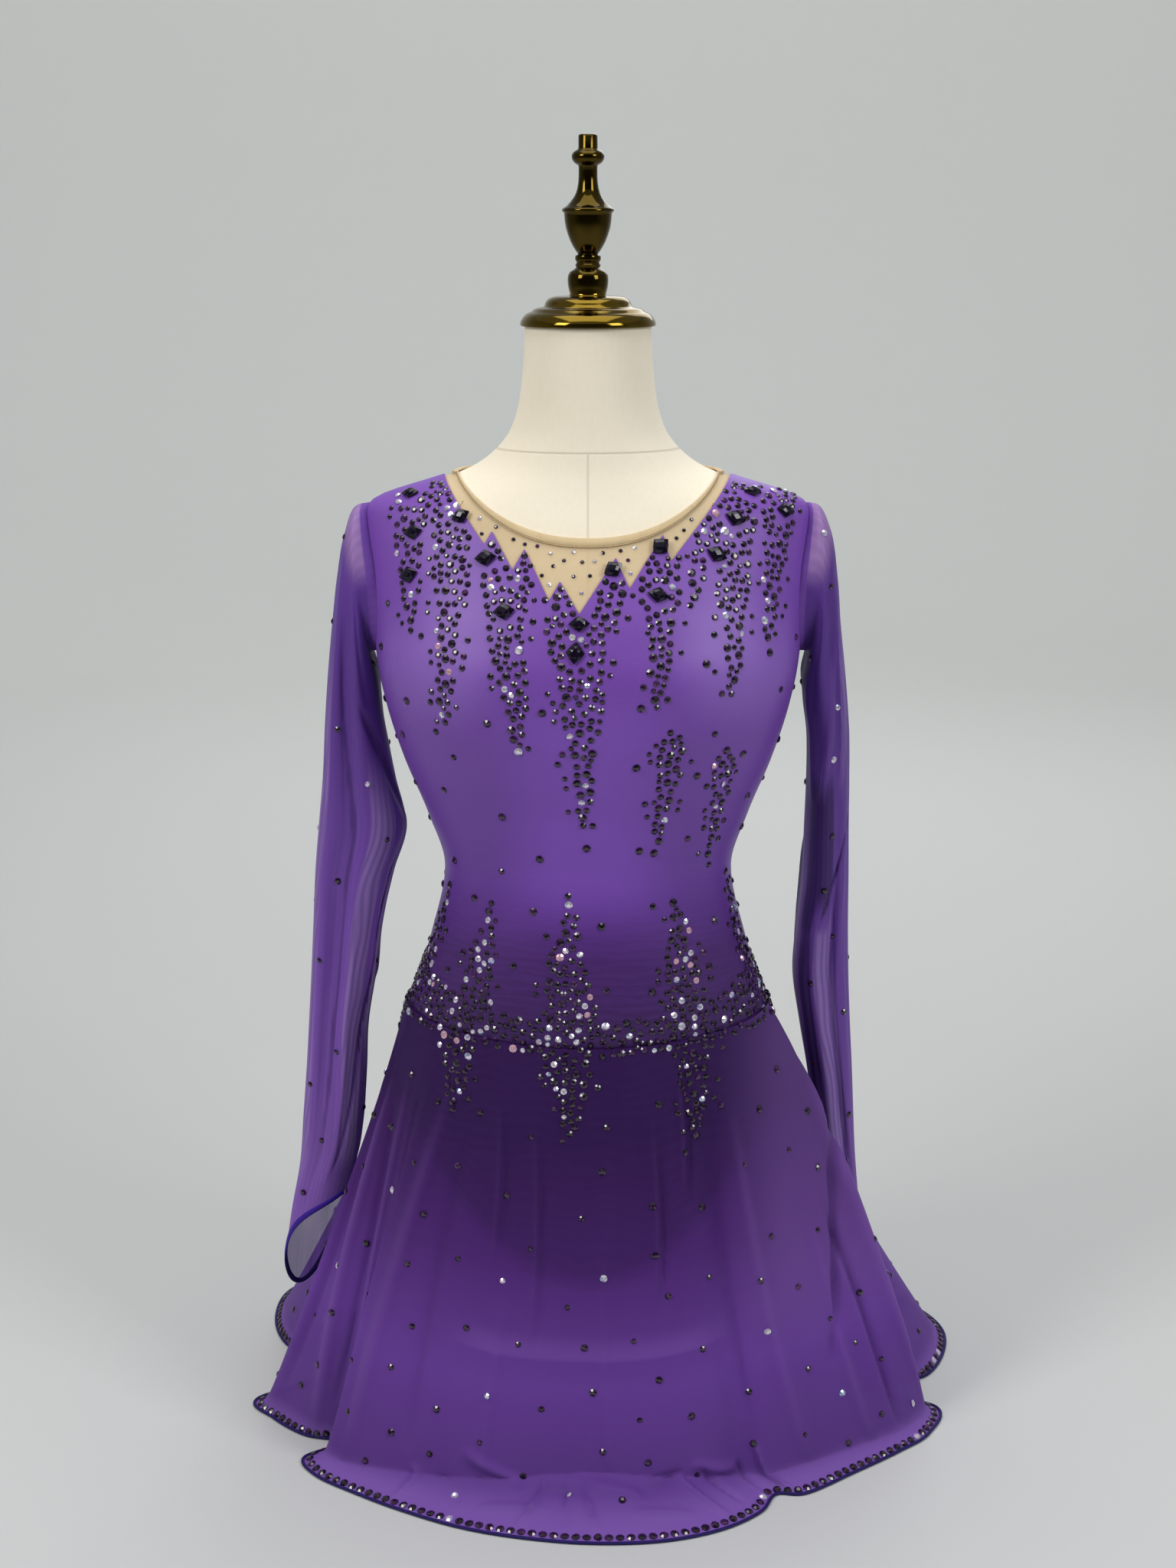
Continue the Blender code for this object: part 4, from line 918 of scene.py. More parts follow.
def along_rings(rings, count):
    """Smooth rows between rings of points, evenly spaced along the sleeve."""
    rings = np.array(rings)
    middle = rings.mean(axis=1)
    place = run_lengths(middle, False)
    gaps = np.diff(place)
    steps = np.diff(rings, axis=0) / gaps[:, None, None]
    slopes = np.concatenate([steps[:1], np.zeros_like(steps[1:]), steps[-1:]])
    before, after = gaps[:-1, None, None], gaps[1:, None, None]
    slopes[1:-1] = (steps[:-1] * after + steps[1:] * before) / (before + after)
    at = np.linspace(0, place[-1], count)
    i = np.clip(np.searchsorted(place, at) - 1, 0, len(gaps) - 1)
    w = gaps[i][:, None, None]
    t = ((at - place[i]) / gaps[i])[:, None, None]
    a, b, m, n = rings[i], rings[i + 1], slopes[i] * w, slopes[i + 1] * w
    return (a * (2 * t ** 3 - 3 * t ** 2 + 1) + b * (3 * t ** 2 - 2 * t ** 3)
            + m * (t ** 3 - 2 * t ** 2 + t) + n * (t ** 3 - t ** 2))


def grid_normals(grid, ring):
    """Unit normals of a grid of points."""
    if ring:
        around = np.roll(grid, -1, axis=1) - np.roll(grid, 1, axis=1)
    else:
        around = np.gradient(grid, axis=1)
    return unit(np.cross(around, np.gradient(grid, axis=0)))


def outward_normals(grid, ring=False):
    """The same, turned away from the middle of the sleeve or of the body."""
    normals = grid_normals(grid, ring)
    centre = grid.mean(axis=1, keepdims=True) * ([1, 1, 1] if ring else [0, 0, 1])
    return -normals if ((grid - centre) * normals).sum() < 0 else normals


# %% [markdown]
# A crease is a soft ridge or trough along a short curve on the cloth: where it
# starts and ends round the piece and along it, how wide it is and how high it
# stands. A negative height is a trough. A crease also says how the layers lie,
# 1 where the cloth lies double and -1 where it is single, and the colour follows:
# cloth that lies double is darker, partly from the extra layer and partly as
# painted fold shade in the troughs, and single cloth is painted lighter along
# the ridges, a painted light, and shows moire. They are uneven on purpose, and
# the hidden sides have their share of them.

# %% Creases
Crease = namedtuple("Crease", "round0 along0 round1 along1 width height layers",
                    defaults=(0.0,))
SHARP_LAYER = 0.30
SOFT_LAYER = 1.3
LAYER_REACH = 1.3
BOW = 0.02
WIDE_CREASE = 0.006
TURN = 360.0


def creased(grid, normals, place_round, place_along, lengths, creases, layer_edge):
    """Moves a grid of points by the sum of all creases, and says how the layers lie."""
    moved, layers = np.zeros(grid.shape[:2]), np.zeros(grid.shape[:2])
    for c in creases:
        du = (c.round1 - c.round0) * lengths[0]
        dv = (c.along1 - c.along0) * lengths[1]
        u = ((place_round - c.round0 + TURN / 2) % TURN - TURN / 2) * lengths[0]
        v = (place_along - c.along0) * lengths[1]
        run = np.hypot(du, dv)
        t = (u * du + v * dv) / run
        bow = BOW * run * np.sin(np.pi * np.clip(t / run, 0, 1))
        off = (u * dv - v * du) / run + (bow if c.width > WIDE_CREASE else -bow)
        ends = np.clip(t / run, -0.2, 1.2)
        fade = np.clip(1.0 - (2 * ends - 1) ** 4, 0, 1)
        moved += c.height * fade * np.exp(-(off / c.width) ** 2)
        edge = np.clip((LAYER_REACH - np.abs(off) / c.width) / layer_edge, 0, 1)
        layers += c.layers * fade * edge * edge * (3 - 2 * edge)
    return grid + normals * moved[..., None], np.clip(layers, -1, 1)


# %% Sleeve creases
SLEEVE_CREASES = {
    -1: table(Crease, (
        (8, .01, 12, .98, .0022, -.0008, .35), (28, .10, 31, .96, .0112, .0008, -.9),
        (80, .05, 88, .97, .0104, .0008, .3), (66, .10, 70, .96, .0020, -.0012, .3),
        (130, .24, 138, .94, .0100, .0008, -1), (108, .17, 176, .35, .0058, -.0026, .6),
        (168, .36, 104, .93, .0020, -.0018, 1), (174, .30, 177, .92, .0030, .0016, .3),
        (46, .03, 60, .40, .0060, .0022), (97, .40, 99, .95, .0035, .0020, .2),
        (92, .03, 128, .18, .0055, -.0020, .2), (148, .46, 142, .84, .0034, .0016, -.2),
        (205, .05, 232, .50, .0060, .0034, .3), (245, .10, 262, .60, .0060, -.0036, .8),
        (285, .04, 300, .55, .0100, .0020, -.9), (320, .20, 330, .80, .0060, .0026),
        (225, .50, 240, .96, .0050, .0030, .4), (275, .55, 272, .98, .0050, -.0032, .8),
        (200, .46, 190, .60, .0040, .0024, .5), (305, .60, 312, .97, .0100, .0014, -.9),
    )),
    1: table(Crease, (
        (8, .01, 10, .98, .0022, -.0008, .35), (30, .12, 32, .96, .0110, .0010, -.35),
        (97, .47, 92, .97, .0120, .0008, -1), (116, .28, 118, .54, .0180, -.0004, 1),
        (140, .48, 141, .86, .0070, .0006, .9), (62, .40, 64, .98, .0022, -.0014, .5),
        (15, .345, 108, .53, .0019, -.0018, .7), (20, .05, 60, .34, .0050, .0010, -.5),
        (60, .12, 116, .34, .0050, .0032, -.2), (100, .03, 140, .20, .0055, -.0022, .2),
        (148, .12, 144, .34, .0050, .0016), (171, .30, 169, .90, .0062, .0008, -.6),
        (46, .40, 48, .94, .0045, .0020), (118, .52, 112, .95, .0034, -.0016, .2),
        (208, .04, 240, .48, .0060, .0034, .3), (250, .06, 268, .62, .0060, -.0036, .8),
        (290, .08, 305, .56, .0100, .0020, -.9), (325, .16, 335, .76, .0060, .0026),
        (222, .46, 244, .96, .0050, .0030, .4), (280, .52, 276, .98, .0050, -.0032, .8),
        (190, .40, 215, .60, .0045, .0026, .5), (308, .60, 314, .97, .0100, .0014, -.9),
    )),
}
sleeve_turns = np.linspace(0, 2 * np.pi, SLEEVE_SIDES, endpoint=False)


def sleeve_grid(rings, side):
    """The rows of a sleeve from the armhole to the cuff, with its folds."""
    controls = [armhole_ring(side, sleeve_turns, ARMHOLE_INSET)]
    controls += [sleeve_ring(ring, side, sleeve_turns) for ring in rings]
    grid = along_rings(controls, SLEEVE_ROWS)
    share = np.linspace(0, 1, SLEEVE_ROWS)[:, None] + 0 * sleeve_turns
    degrees = np.degrees(sleeve_turns) + 0 * share
    return creased(grid, outward_normals(grid, True), degrees, share,
                   (SLEEVE_DEGREE, SLEEVE_RUN), SLEEVE_CREASES[side], SHARP_LAYER)


# %% Sheer sleeve cloth
CAP_SIDE = 0.212
CAP_TURN = 0.85
CAP_SLOPE = 0.20
CAP_FOOT = (0.745, 0.775)
ALLOWANCE = (0.0032, 0.0040)
MOUTH_ALONG, MOUTH_ACROSS = (0.405, 0.465), (0.100, 0.112)
SLEEVE_DYE_RUN = 0.5
LAYER_TURN = (0.05, 0.95)

sheer = Finish("sleeve_mesh", Roughness=0.55, Specular_IOR_Level=0.3, Sheen_Weight=0.12,
               Sheen_Tint=dye(200, 180, 255))
where = sheer.cut_place()
across, along, _ = sheer.numbers(where)
px, _, pz = sheer.numbers(sheer.place())
lies = sheer.attribute("folded")
double_layer_and_fold_shade = lies.smooth(*LAYER_TURN)
single = (0.0 - lies).smooth(*LAYER_TURN)
wander = sheer.noise(where, 12.0, 2.0, (1.0, 0.45, 1.0))
contours = (across * 1150.0 + along * 60.0 + wander * 46.0).wave() ** 1.5
lengthways = (across * 1300.0 + wander * 14.0).wave()
moire = contours * single + lengthways * (1.0 - single) * 0.35
cap_edge = abs(px) - CAP_SIDE + (CAP_TURN - pz).most(0.0) * CAP_SLOPE
cap = cap_edge.fade(-0.010, 0.001) * pz.smooth(*CAP_FOOT)
allowance = along.fade(*ALLOWANCE)
mouth_with_painted_light = along.smooth(*MOUTH_ALONG) * across.smooth(*MOUTH_ACROSS)
mouth_painted_fold_shade = (across * 420.0 + wander * 6.0).wave()
dyed = sheer.ramp(along / SLEEVE_DYE_RUN, dyes(
    (0.1, (94, 54, 148)), (0.5, (124, 78, 180)), (1.0, (134, 88, 184))))
# The first of these blends is painted shade: it darkens the whole right sleeve, which gets less
# light.
for share, colour in ((px.smooth(-0.02, 0.02) * 0.42, (66, 32, 112)),
                      # Painted light: the cap is painted lighter, partly for its single layer and
                      # partly as if lit through.
                      (cap * 0.8, (166, 128, 186)),
                      (allowance, (108, 64, 158)),
                      # Painted light: the inside of the cuff's opening is painted pale as if lit
                      # from behind, with streaks of painted fold shade.
                      (mouth_with_painted_light * (1.0 - mouth_painted_fold_shade * 0.6), (158, 112, 216)),
                      # Painted light on single cloth along the ridges, and painted fold shade on
                      # cloth that lies double in the troughs, partly the extra layer.
                      (single * 0.70, (160, 128, 198)),
                      (double_layer_and_fold_shade * 0.90, (42, 16, 80)),
                      (moire * 0.50, (84, 50, 134))):
    dyed = sheer.blend(share, dyed, dye(*colour))
sheer.feed("Base Color", dyed)
cover_share = 0.95 + double_layer_and_fold_shade * 0.04 - single * 0.08 - cap * 0.08 - mouth_with_painted_light * 0.16
sheer.feed("Alpha", (cover_share + allowance * 0.10).least(0.99))
sheer.bump(wander + moire * 0.2, 0.1, 0.0006)

# %% Sleeves
sleeve_grids, sleeves = {}, {}
for side, name, rings in ((-1, "left", LEFT_SLEEVE), (1, "right", RIGHT_SLEEVE)):
    sleeve_grids[side], lies = sleeve_grid(rings, side)
    sleeves[side] = grid_object("mesh_sleeve_" + name, [sleeve_grids[side]], sheer, True, lies)
sleeve_left, sleeve_right = sleeves[-1], sleeves[1]
print("sleeves:", triangles(sleeve_left), triangles(sleeve_right), "triangles")

# %% [markdown]
# ## Trunks
# Under the skirt the dress has trunks in the same stretch cloth. Their lower
# edge shows through the skirt as a darker shape.

# %% Trunks
TRUNKS_FRONT = 0.182
TRUNKS_BACK = 0.165
TRUNKS_SIDE = 0.242
TRUNKS_GAP = 0.0004


def trunks_edge(angle):
    turn = np.radians(angle)
    centre = np.where(np.cos(turn) > 0, TRUNKS_FRONT, TRUNKS_BACK)
    return centre + (TRUNKS_SIDE - centre) * np.minimum(1.0, np.abs(np.sin(turn)) * 1.02) ** 3


trunks = {}
for name, start in (("front", -90), ("back", 90)):
    angle = np.linspace(start, start + 180, 73)
    low, high = trunks_edge(angle), seam_height(angle) - TRUNKS_GAP
    z = low + np.linspace(0, 1, 36)[:, None] * (high - low)
    trunks[name] = stretched("trunks_%s_cloth" % name, angle + 0 * z, z)
print("trunks:", triangles(trunks["front"]), triangles(trunks["back"]), "triangles")

# %% [markdown]
# ## Skirt
# The skirt is a flared circle of sheer mesh on a dropped waist. It looks darker
# where the form stands close behind it, down to a soft arc. Painted light makes it
# paler along the form's lower edge, where the hem lies on the floor and on its
# right flank, and its creases carry painted light and fold shade. Each row of the
# table is one line down the skirt: where it starts round the body, where its hem
# ends on the floor, how much of it lies there and how it hangs. A smooth curve
# through the rows gives the whole sheet, and creases are laid on it.

# %% Skirt lines
SKIRT_CLEARANCE = 0.0044
FLOOR_CLEARANCE = 0.0004
PLINTH_HEIGHT = 0.087
TOUCH_BEND = 0.009
TOUCH_BEND_SHARE = 0.85
TOUCH_BLEND = 0.002
SKIRT_TOP_GAP = 0.0002
REACH_LIMITS = (0.02, 0.30)
Fold = namedtuple("Fold", "angle x y lying hang")
SKIRT_FOLDS = table(Fold, (
    (-180, 0.0000, 0.3150, 0.000, 1.05), (-165, -0.0880, 0.3050, 0.000, 1.10),
    (-151, -0.1700, 0.2860, 0.000, 1.20), (-138, -0.2400, 0.2960, 0.000, 1.10),
    (-127, -0.2920, 0.2680, 0.004, 1.10), (-117, -0.3030, 0.2130, 0.004, 1.20),
    (-107, -0.2870, 0.1500, 0.000, 1.5), (-97, -0.2380, 0.0900, 0.000, 1.6),
    (-87, -0.2985, 0.0400, 0.010, 1.12), (-79, -0.2790, 0.0050, 0.010, 1.10),
    (-71, -0.2475, -0.0250, 0.006, 1.00), (-62, -0.2130, -0.0380, 0.000, 1.00),
    (-54, -0.2441, -0.0640, 0.018, 1.00), (-46, -0.2310, -0.0930, 0.026, 1.00),
    (-37, -0.1960, -0.1210, 0.036, 1.00), (-28, -0.1540, -0.1490, 0.044, 1.00),
    (-19, -0.1060, -0.1745, 0.052, 1.00), (-10, -0.0560, -0.1905, 0.060, 1.00),
    (0, 0.0020, -0.1993, 0.066, 1.00), (10, 0.0600, -0.1960, 0.064, 1.00),
    (20, 0.1080, -0.1790, 0.056, 1.00), (28, 0.1420, -0.1520, 0.044, 1.00),
    (34, 0.1570, -0.1240, 0.030, 1.00), (41, 0.1830, -0.1220, 0.030, 0.95),
    (51, 0.2280, -0.0870, 0.028, 0.90), (61, 0.2690, -0.0530, 0.026, 0.90),
    (70, 0.2990, -0.0220, 0.020, 0.85), (79, 0.3120, 0.0250, 0.012, 0.85),
    (87, 0.2500, 0.0600, 0.000, 1.5), (96, 0.3125, 0.0860, 0.000, 2.3),
    (107, 0.3400, 0.1670, 0.005, 1.35), (119, 0.3140, 0.2340, 0.000, 1.20),
    (131, 0.2600, 0.2750, 0.000, 1.15), (144, 0.1950, 0.2820, 0.000, 1.20),
    (156, 0.1330, 0.2900, 0.000, 1.15), (168, 0.0690, 0.3060, 0.000, 1.10),
    (180, 0.0000, 0.3150, 0.000, 1.05),
))
SKIRT_SIDE_SEAMS = (-92.0, 91.5)
FOLD_TABLE = np.array(SKIRT_FOLDS)
LAST_FOLD = len(SKIRT_FOLDS) - 1


def fold_at(column):
    """The fold table between its rows, on a smooth closed curve."""
    i = np.clip(np.floor(column).astype(int), 0, LAST_FOLD - 1)
    t = (column - i)[..., None]
    before = FOLD_TABLE[np.where(i > 0, i - 1, LAST_FOLD - 1)]
    after = FOLD_TABLE[np.where(i + 2 <= LAST_FOLD, i + 2, 1)]
    here, there = FOLD_TABLE[i], FOLD_TABLE[i + 1]
    curve = 0.5 * (2 * here + (there - before) * t
                   + (2 * before - 5 * here + 4 * there - after) * t * t
                   + (3 * here - before - 3 * there + after) * t ** 3)
    angle = here[..., 0] + t[..., 0] * (there - here)[..., 0]
    return angle, curve[..., 1], curve[..., 2], curve[..., 3], curve[..., 4]


# %% From lines to a sheet
def body_reach(x, y, z):
    """Distance from the axis to the form's surface in the direction of (x, y)."""
    depth = np.where(y < 0, FRONT_DEPTH(z), BACK_DEPTH(z))
    distance = np.hypot(x, y)
    low, high = (np.full(x.shape, limit) for limit in REACH_LIMITS)
    for _ in range(22):
        middle = (low + high) / 2
        sideways = np.abs(x) / distance * middle / HALF_WIDTH(z)
        forwards = np.abs(y) / distance * middle / depth
        inside = sideways ** 2 + forwards ** (2.0 / LEAN(z)) < 1
        low, high = np.where(inside, middle, low), np.where(inside, high, middle)
    return (low + high) / 2


def soft_max(a, b, blend):
    return 0.5 * (a + b + np.sqrt((a - b) ** 2 + blend * blend))


def clear_of_body(points, gap):
    """Keeps the skirt outside the trunks, which it touches at the hip."""
    x, y, z = np.moveaxis(points, -1, 0)
    reach = np.hypot(x, y)
    pressed = soft_max(reach, body_reach(x, y, z) + gap, TOUCH_BLEND)
    held = np.where(z > PLINTH_HEIGHT, pressed, reach)
    scaled = points.copy()
    scaled[..., :2] *= (held / reach)[..., None]
    return scaled


def skirt_surface(column, share):
    """The skirt at places round the fold table and down its length."""
    column, share = np.broadcast_arrays(column, share)
    angle, x, y, lying, hang_power = fold_at(column)
    lying = np.maximum(lying, 0.0)
    top = seam_height(angle) - SKIRT_TOP_GAP
    start = worn_point(angle, top, SKIRT_CLEARANCE)
    run = np.stack([x - start[..., 0], y - start[..., 1]], axis=-1)
    length = np.linalg.norm(run, axis=-1)
    outward = run / length[..., None]
    touch = length - lying
    floor = FLOOR_CLEARANCE + WALL / 2
    hang = np.hypot(touch, start[..., 2] - floor)
    travelled = share * (hang + length - touch)
    lower = travelled / hang
    plan = np.where(lower < 1, touch * np.minimum(lower, 1) ** hang_power,
                    touch + travelled - hang)
    bend = TOUCH_BEND + TOUCH_BEND_SHARE * lying
    left_over = soft_max(start[..., 2] * (touch - length) / hang, 0.0, bend)
    z = soft_max(start[..., 2] * (1 - lower), 0.0, bend) - left_over * share ** 4 + floor
    flat = start[..., :2] + outward * plan[..., None]
    points = clear_of_body(np.concatenate([flat, z[..., None]], axis=-1), SKIRT_CLEARANCE)
    points[..., 2] = np.minimum(z, top)
    return points


def seam_column(angle):
    return float(np.interp(angle, FOLD_TABLE[:, 0], np.arange(LAST_FOLD + 1)))


# %% Skirt creases
SKIRT_CREASES = table(Crease, (
    (-15.5, .14, -14, .60, .0040, .0020, -.2), (-13.5, .16, -12, .58, .0030, -.0020, .4),
    (-25.5, .12, -24, .46, .0040, .0018, -.2), (-23.5, .14, -22, .44, .0030, -.0018, .35),
    (18, .14, 16.5, .50, .0040, .0020, -.2), (20, .16, 18.5, .52, .0030, -.0020, .4),
    (27, .06, 25.5, .32, .0040, .0020, -.2), (29, .06, 27.5, .34, .0030, -.0020, .35),
    (-42, .12, -47, .94, .0095, .0050, -.4), (-34, .20, -36, .86, .0070, -.0030, .4),
    (-53, .12, -57, .96, .0080, -.0040, .6), (-63, .12, -63, .96, .0100, .0036, -.5),
    (-75, .14, -71, .98, .0110, .0054, -.7), (-69, .20, -67, .92, .0060, -.0034, .5),
    (-84, .20, -82, .92, .0060, -.0040, .5), (36, .14, 37, .80, .0070, -.0032, .4),
    (44, .14, 49, .96, .0085, .0046, -.4), (84, .14, 57, .74, .0065, -.0064, .9),
    (76, .12, 79, .98, .0100, .0066, -.7), (66, .40, 69, .96, .0055, -.0044, .8),
    (61, .44, 62, .96, .0070, .0036, -.4), (88, .16, 88, .80, .0055, -.0040, .6),
    (-20, .50, -22, .90, .0070, .0022, -.15), (4, .34, 5, .86, .0080, .0018, -.15),
    (-9, .86, -11, .98, .0040, .0034, -.4), (-5, .87, -4, .97, .0032, -.0026, .5),
    (-1, .88, 1, .98, .0040, .0030, -.3), (19, .86, 23, .98, .0040, .0034, -.4),
    (24, .85, 28, .97, .0034, -.0028, .5), (38, .84, 40, .98, .0050, .0036, -.4),
    (33, .88, 34, .98, .0036, -.0026, .5), (-34, .88, -31, .98, .0045, .0030, -.4),
    (-26, .82, -13, .89, .0070, .0034, -.2), (-15, .905, 1, .885, .0055, -.0030, .4),
    (-2, .875, 11, .90, .0060, .0034, -.2), (9, .90, 21, .86, .0060, -.0030, .4),
    (-19, .945, -7, .93, .0045, .0028, -.2), (7, .93, 18, .95, .0045, .0028, -.2),
    (22, .84, 33, .90, .0070, .0030, -.2), (-30, .90, -22, .94, .0050, -.0024, .3),
    (-100, .12, -104, .92, .0085, .0046, -.4), (-113, .18, -120, .88, .0080, -.0046, .6),
    (-131, .12, -134, .94, .0085, .0050, -.4), (-146, .20, -149, .84, .0080, -.0044, .6),
    (-160, .10, -164, .90, .0085, .0046, -.4), (-173, .16, -176, .80, .0070, -.0040, .5),
    (170, .12, 172, .86, .0080, .0046, -.4), (158, .20, 160, .92, .0080, -.0046, .6),
    (146, .10, 147, .94, .0085, .0050, -.4), (132, .16, 128, .82, .0075, -.0044, .6),
    (118, .12, 117, .92, .0085, .0046, -.4), (104, .20, 102, .88, .0075, -.0040, .5),
))
SKIRT_ROWS = 170
HIP_ARC = 0.0026
HEM_SPREAD = 1.4
SKIRT_RUN = 0.455
CREASES_START = 0.08
SETTLE = 0.0008
row_shares = np.linspace(0, 1, SKIRT_ROWS)[:, None]
print("skirt lines:", len(SKIRT_FOLDS), "creases:", len(SKIRT_CREASES))


def skirt_panel(first, last, count):
    """One half of the skirt, from seam to seam."""
    columns = np.linspace(first, last, count)
    grid = skirt_surface(columns, row_shares)
    normals = grid_normals(grid, False)
    if (normals[0] * (grid[0] * [1, 1, 0])).sum() < 0:
        normals = -normals
    angle = fold_at(columns)[0] + 0 * row_shares
    share = row_shares + 0 * angle
    spread = (1.0 + HEM_SPREAD * share) * HIP_ARC
    fade = np.clip(share / CREASES_START, 0, 1)
    folded, lies = creased(grid, normals, angle, share, (spread, SKIRT_RUN),
                           SKIRT_CREASES, SOFT_LAYER)
    grid = grid + (folded - grid) * fade[..., None]
    grid = clear_of_body(grid, SKIRT_CLEARANCE - SETTLE)
    grid[..., 2] = np.maximum(grid[..., 2], 2 * FLOOR_CLEARANCE)
    return grid, lies * fade


# %% Sheer skirt cloth
SIDE_STRIP = 0.007
ARC_FOOT = 0.175
ARC_SPREAD = 6.0
FOOT_EDGE = 0.126
FOOT_SPREAD = 0.9
FOOT_SIDE = (0.08, 0.125)
FRONT_TURN = (-0.06, 0.02)
LYING_HEM_PAINTED_LIGHT = (0.003, 0.020)
FLANK_LIGHT_SIDE, FLANK_LIGHT_RISE = (0.10, 0.17), (0.09, 0.18)

veil = Finish("skirt_mesh", Roughness=0.6, Specular_IOR_Level=0.16, Sheen_Weight=0.03,
              Sheen_Tint=dye(190, 170, 255))
where = veil.cut_place()
across, along, _ = veil.numbers(where)
px, py, pz = veil.numbers(veil.place())
lies = veil.attribute("folded")
down = along / SKIRT_RUN
over_arc = pz - px * px * ARC_SPREAD - ARC_FOOT
over_foot = pz - px * px * FOOT_SPREAD - FOOT_EDGE
# Painted light: a paler band along the form's lower edge in front, partly the pale linen showing
# through and partly painted light on it.
form_foot_painted_light = over_foot.smooth(-0.006, -0.001) * over_foot.fade(0.001, 0.022) * abs(px).fade(*FOOT_SIDE)
wander = veil.noise(where, 12.0)
blotch = veil.noise(where, 30.0, 3.0, (1.0, 0.3, 1.0))
moire = (along * 620.0 + wander * 34.0).wave() * blotch
dyed = veil.ramp(down, dyes(
    (0.0, (47, 15, 75)), (0.16, (45, 13, 74)), (0.42, (80, 38, 120)),
    (0.64, (109, 63, 162)), (0.80, (98, 56, 146)), (1.0, (95, 55, 141))))
for share, colour in ((over_arc.smooth(0.0, 0.03) * 0.5, (46, 18, 76)),
                      (form_foot_painted_light * py.fade(*FRONT_TURN) * 0.20, (156, 112, 206)),
                      # Painted light: where the hem lies on the floor it is painted paler, for the
                      # lit white floor under it.
                      (pz.fade(*LYING_HEM_PAINTED_LIGHT) * 0.75, (134, 94, 184)),
                      # Painted light: the right flank of the skirt, above the hem, is painted
                      # paler.
                      (px.smooth(*FLANK_LIGHT_SIDE) * pz.smooth(*FLANK_LIGHT_RISE) * 0.30, (140, 100, 182)),
                      # Painted fold shade where the cloth lies double in the troughs, partly the
                      # extra layer, and painted light along the single ridges.
                      (lies.smooth(0.0, 1.0) * 0.42, (38, 14, 66)),
                      ((0.0 - lies).smooth(0.0, 1.0) * 0.46, (136, 94, 180)),
                      (across.fade(SIDE_STRIP - 0.001, SIDE_STRIP) * 0.5, (40, 16, 70)),
                      (moire * 0.04 + blotch * 0.04, (128, 84, 176))):
    dyed = veil.blend(share, dyed, dye(*colour))
veil.feed("Base Color", dyed)
veil.feed("Alpha", 0.97 - down.smooth(0.3, 0.8) * 0.07 - moire * 0.03)
veil.bump(blotch + moire * 0.2, 0.12, 0.0008)

# %% Skirt halves
left, right = (seam_column(a) for a in SKIRT_SIDE_SEAMS)
front_grid, front_lies = skirt_panel(left, right, 300)
halves = zip(skirt_panel(right, LAST_FOLD, 150), skirt_panel(0.0, left, 150))
back_grid, back_lies = (np.concatenate([one, other[:, 1:]], axis=1) for one, other in halves)
skirt_front = grid_object("skirt_mesh_front", [front_grid], veil, folded=front_lies)
skirt_back = grid_object("skirt_mesh_back", [back_grid], veil, folded=back_lies)
print("skirt:", triangles(skirt_front), triangles(skirt_back), "triangles")


# %% [markdown]
# ## Bindings
# The hem and the cuffs are finished with a narrow folded binding in deep blue
# violet. It is a flattened cord of cloth that follows the edge, so it is made
# by carrying one small section along the edge's points.

# %% Bound edges
BINDING_RIBS = 3600.0
CUFF_RISE = (0.13, 0.15)

binding = Finish("deep_binding", Roughness=0.6, Specular_IOR_Level=0.2, Sheen_Weight=0.05)
where = binding.cut_place()
rib = (binding.numbers(where)[1] * BINDING_RIBS).sine()
at_cuffs = binding.numbers(binding.place())[2].smooth(*CUFF_RISE)
knit = binding.blend(binding.noise(where, 200.0), dye(24, 13, 76), dye(36, 20, 98))
binding.feed("Base Color", binding.blend(at_cuffs * 0.8, knit, dye(62, 30, 158)))
binding.bump(rib, 0.2, 0.0003)


def bound_edge(name, edge, inward, radius, flatten, sides=10):
    """A closed cord along a closed edge, wider towards the cloth."""
    ahead = unit(np.roll(edge, -1, axis=0) - np.roll(edge, 1, axis=0))
    inward = unit(inward - (inward * ahead).sum(axis=-1, keepdims=True) * ahead)
    upward = np.cross(ahead, inward)
    turn = np.linspace(0, 2 * np.pi, sides, endpoint=False)[:, None, None]
    section = np.cos(turn) * inward + np.sin(turn) * upward * flatten
    grid = (edge + radius * section).transpose(1, 0, 2)
    mesh = bpy.data.meshes.new(name)
    faces = tube_faces(len(edge), sides, closed=True)
    mesh.from_pydata(grid.reshape(-1, 3).tolist(), [], faces.tolist())
    r, c = grid_places(len(edge), sides)
    flat_round = np.stack([c, c + 1, c + 1, c], axis=-1) * radius
    flat_along = run_lengths(edge, True)[np.stack([r, r, r + 1, r + 1], axis=-1)]
    cut = mesh.uv_layers.new(name="cut")
    cut.data.foreach_set("uv", np.stack([flat_round, flat_along], axis=-1).ravel())
    turned_out(mesh)
    return finished(name, mesh, binding)


HEM_RADIUS, HEM_FLATTEN = 0.0014, 0.85
CUFF_RADIUS, CUFF_FLATTEN = 0.0024, 0.5
halves = (front_grid, back_grid)
hem_line = np.concatenate([grid[-1, :-1] for grid in halves])
hem_inward = np.concatenate([(grid[-3] - grid[-1])[:-1] for grid in halves])
hem_line[:, 2] = np.maximum(hem_line[:, 2], FLOOR_CLEARANCE + HEM_RADIUS)
hem_cord = bound_edge("hem_cord", hem_line, hem_inward, HEM_RADIUS, HEM_FLATTEN)
cuff_cords = {}
for side, name in ((-1, "left"), (1, "right")):
    grid = sleeve_grids[side]
    cuff_cords[name] = bound_edge("cuff_cord_" + name, grid[-1], grid[-3] - grid[-1],
                                  CUFF_RADIUS, CUFF_FLATTEN)
print("hem %.2f m round" % run_lengths(hem_line, True)[-1])

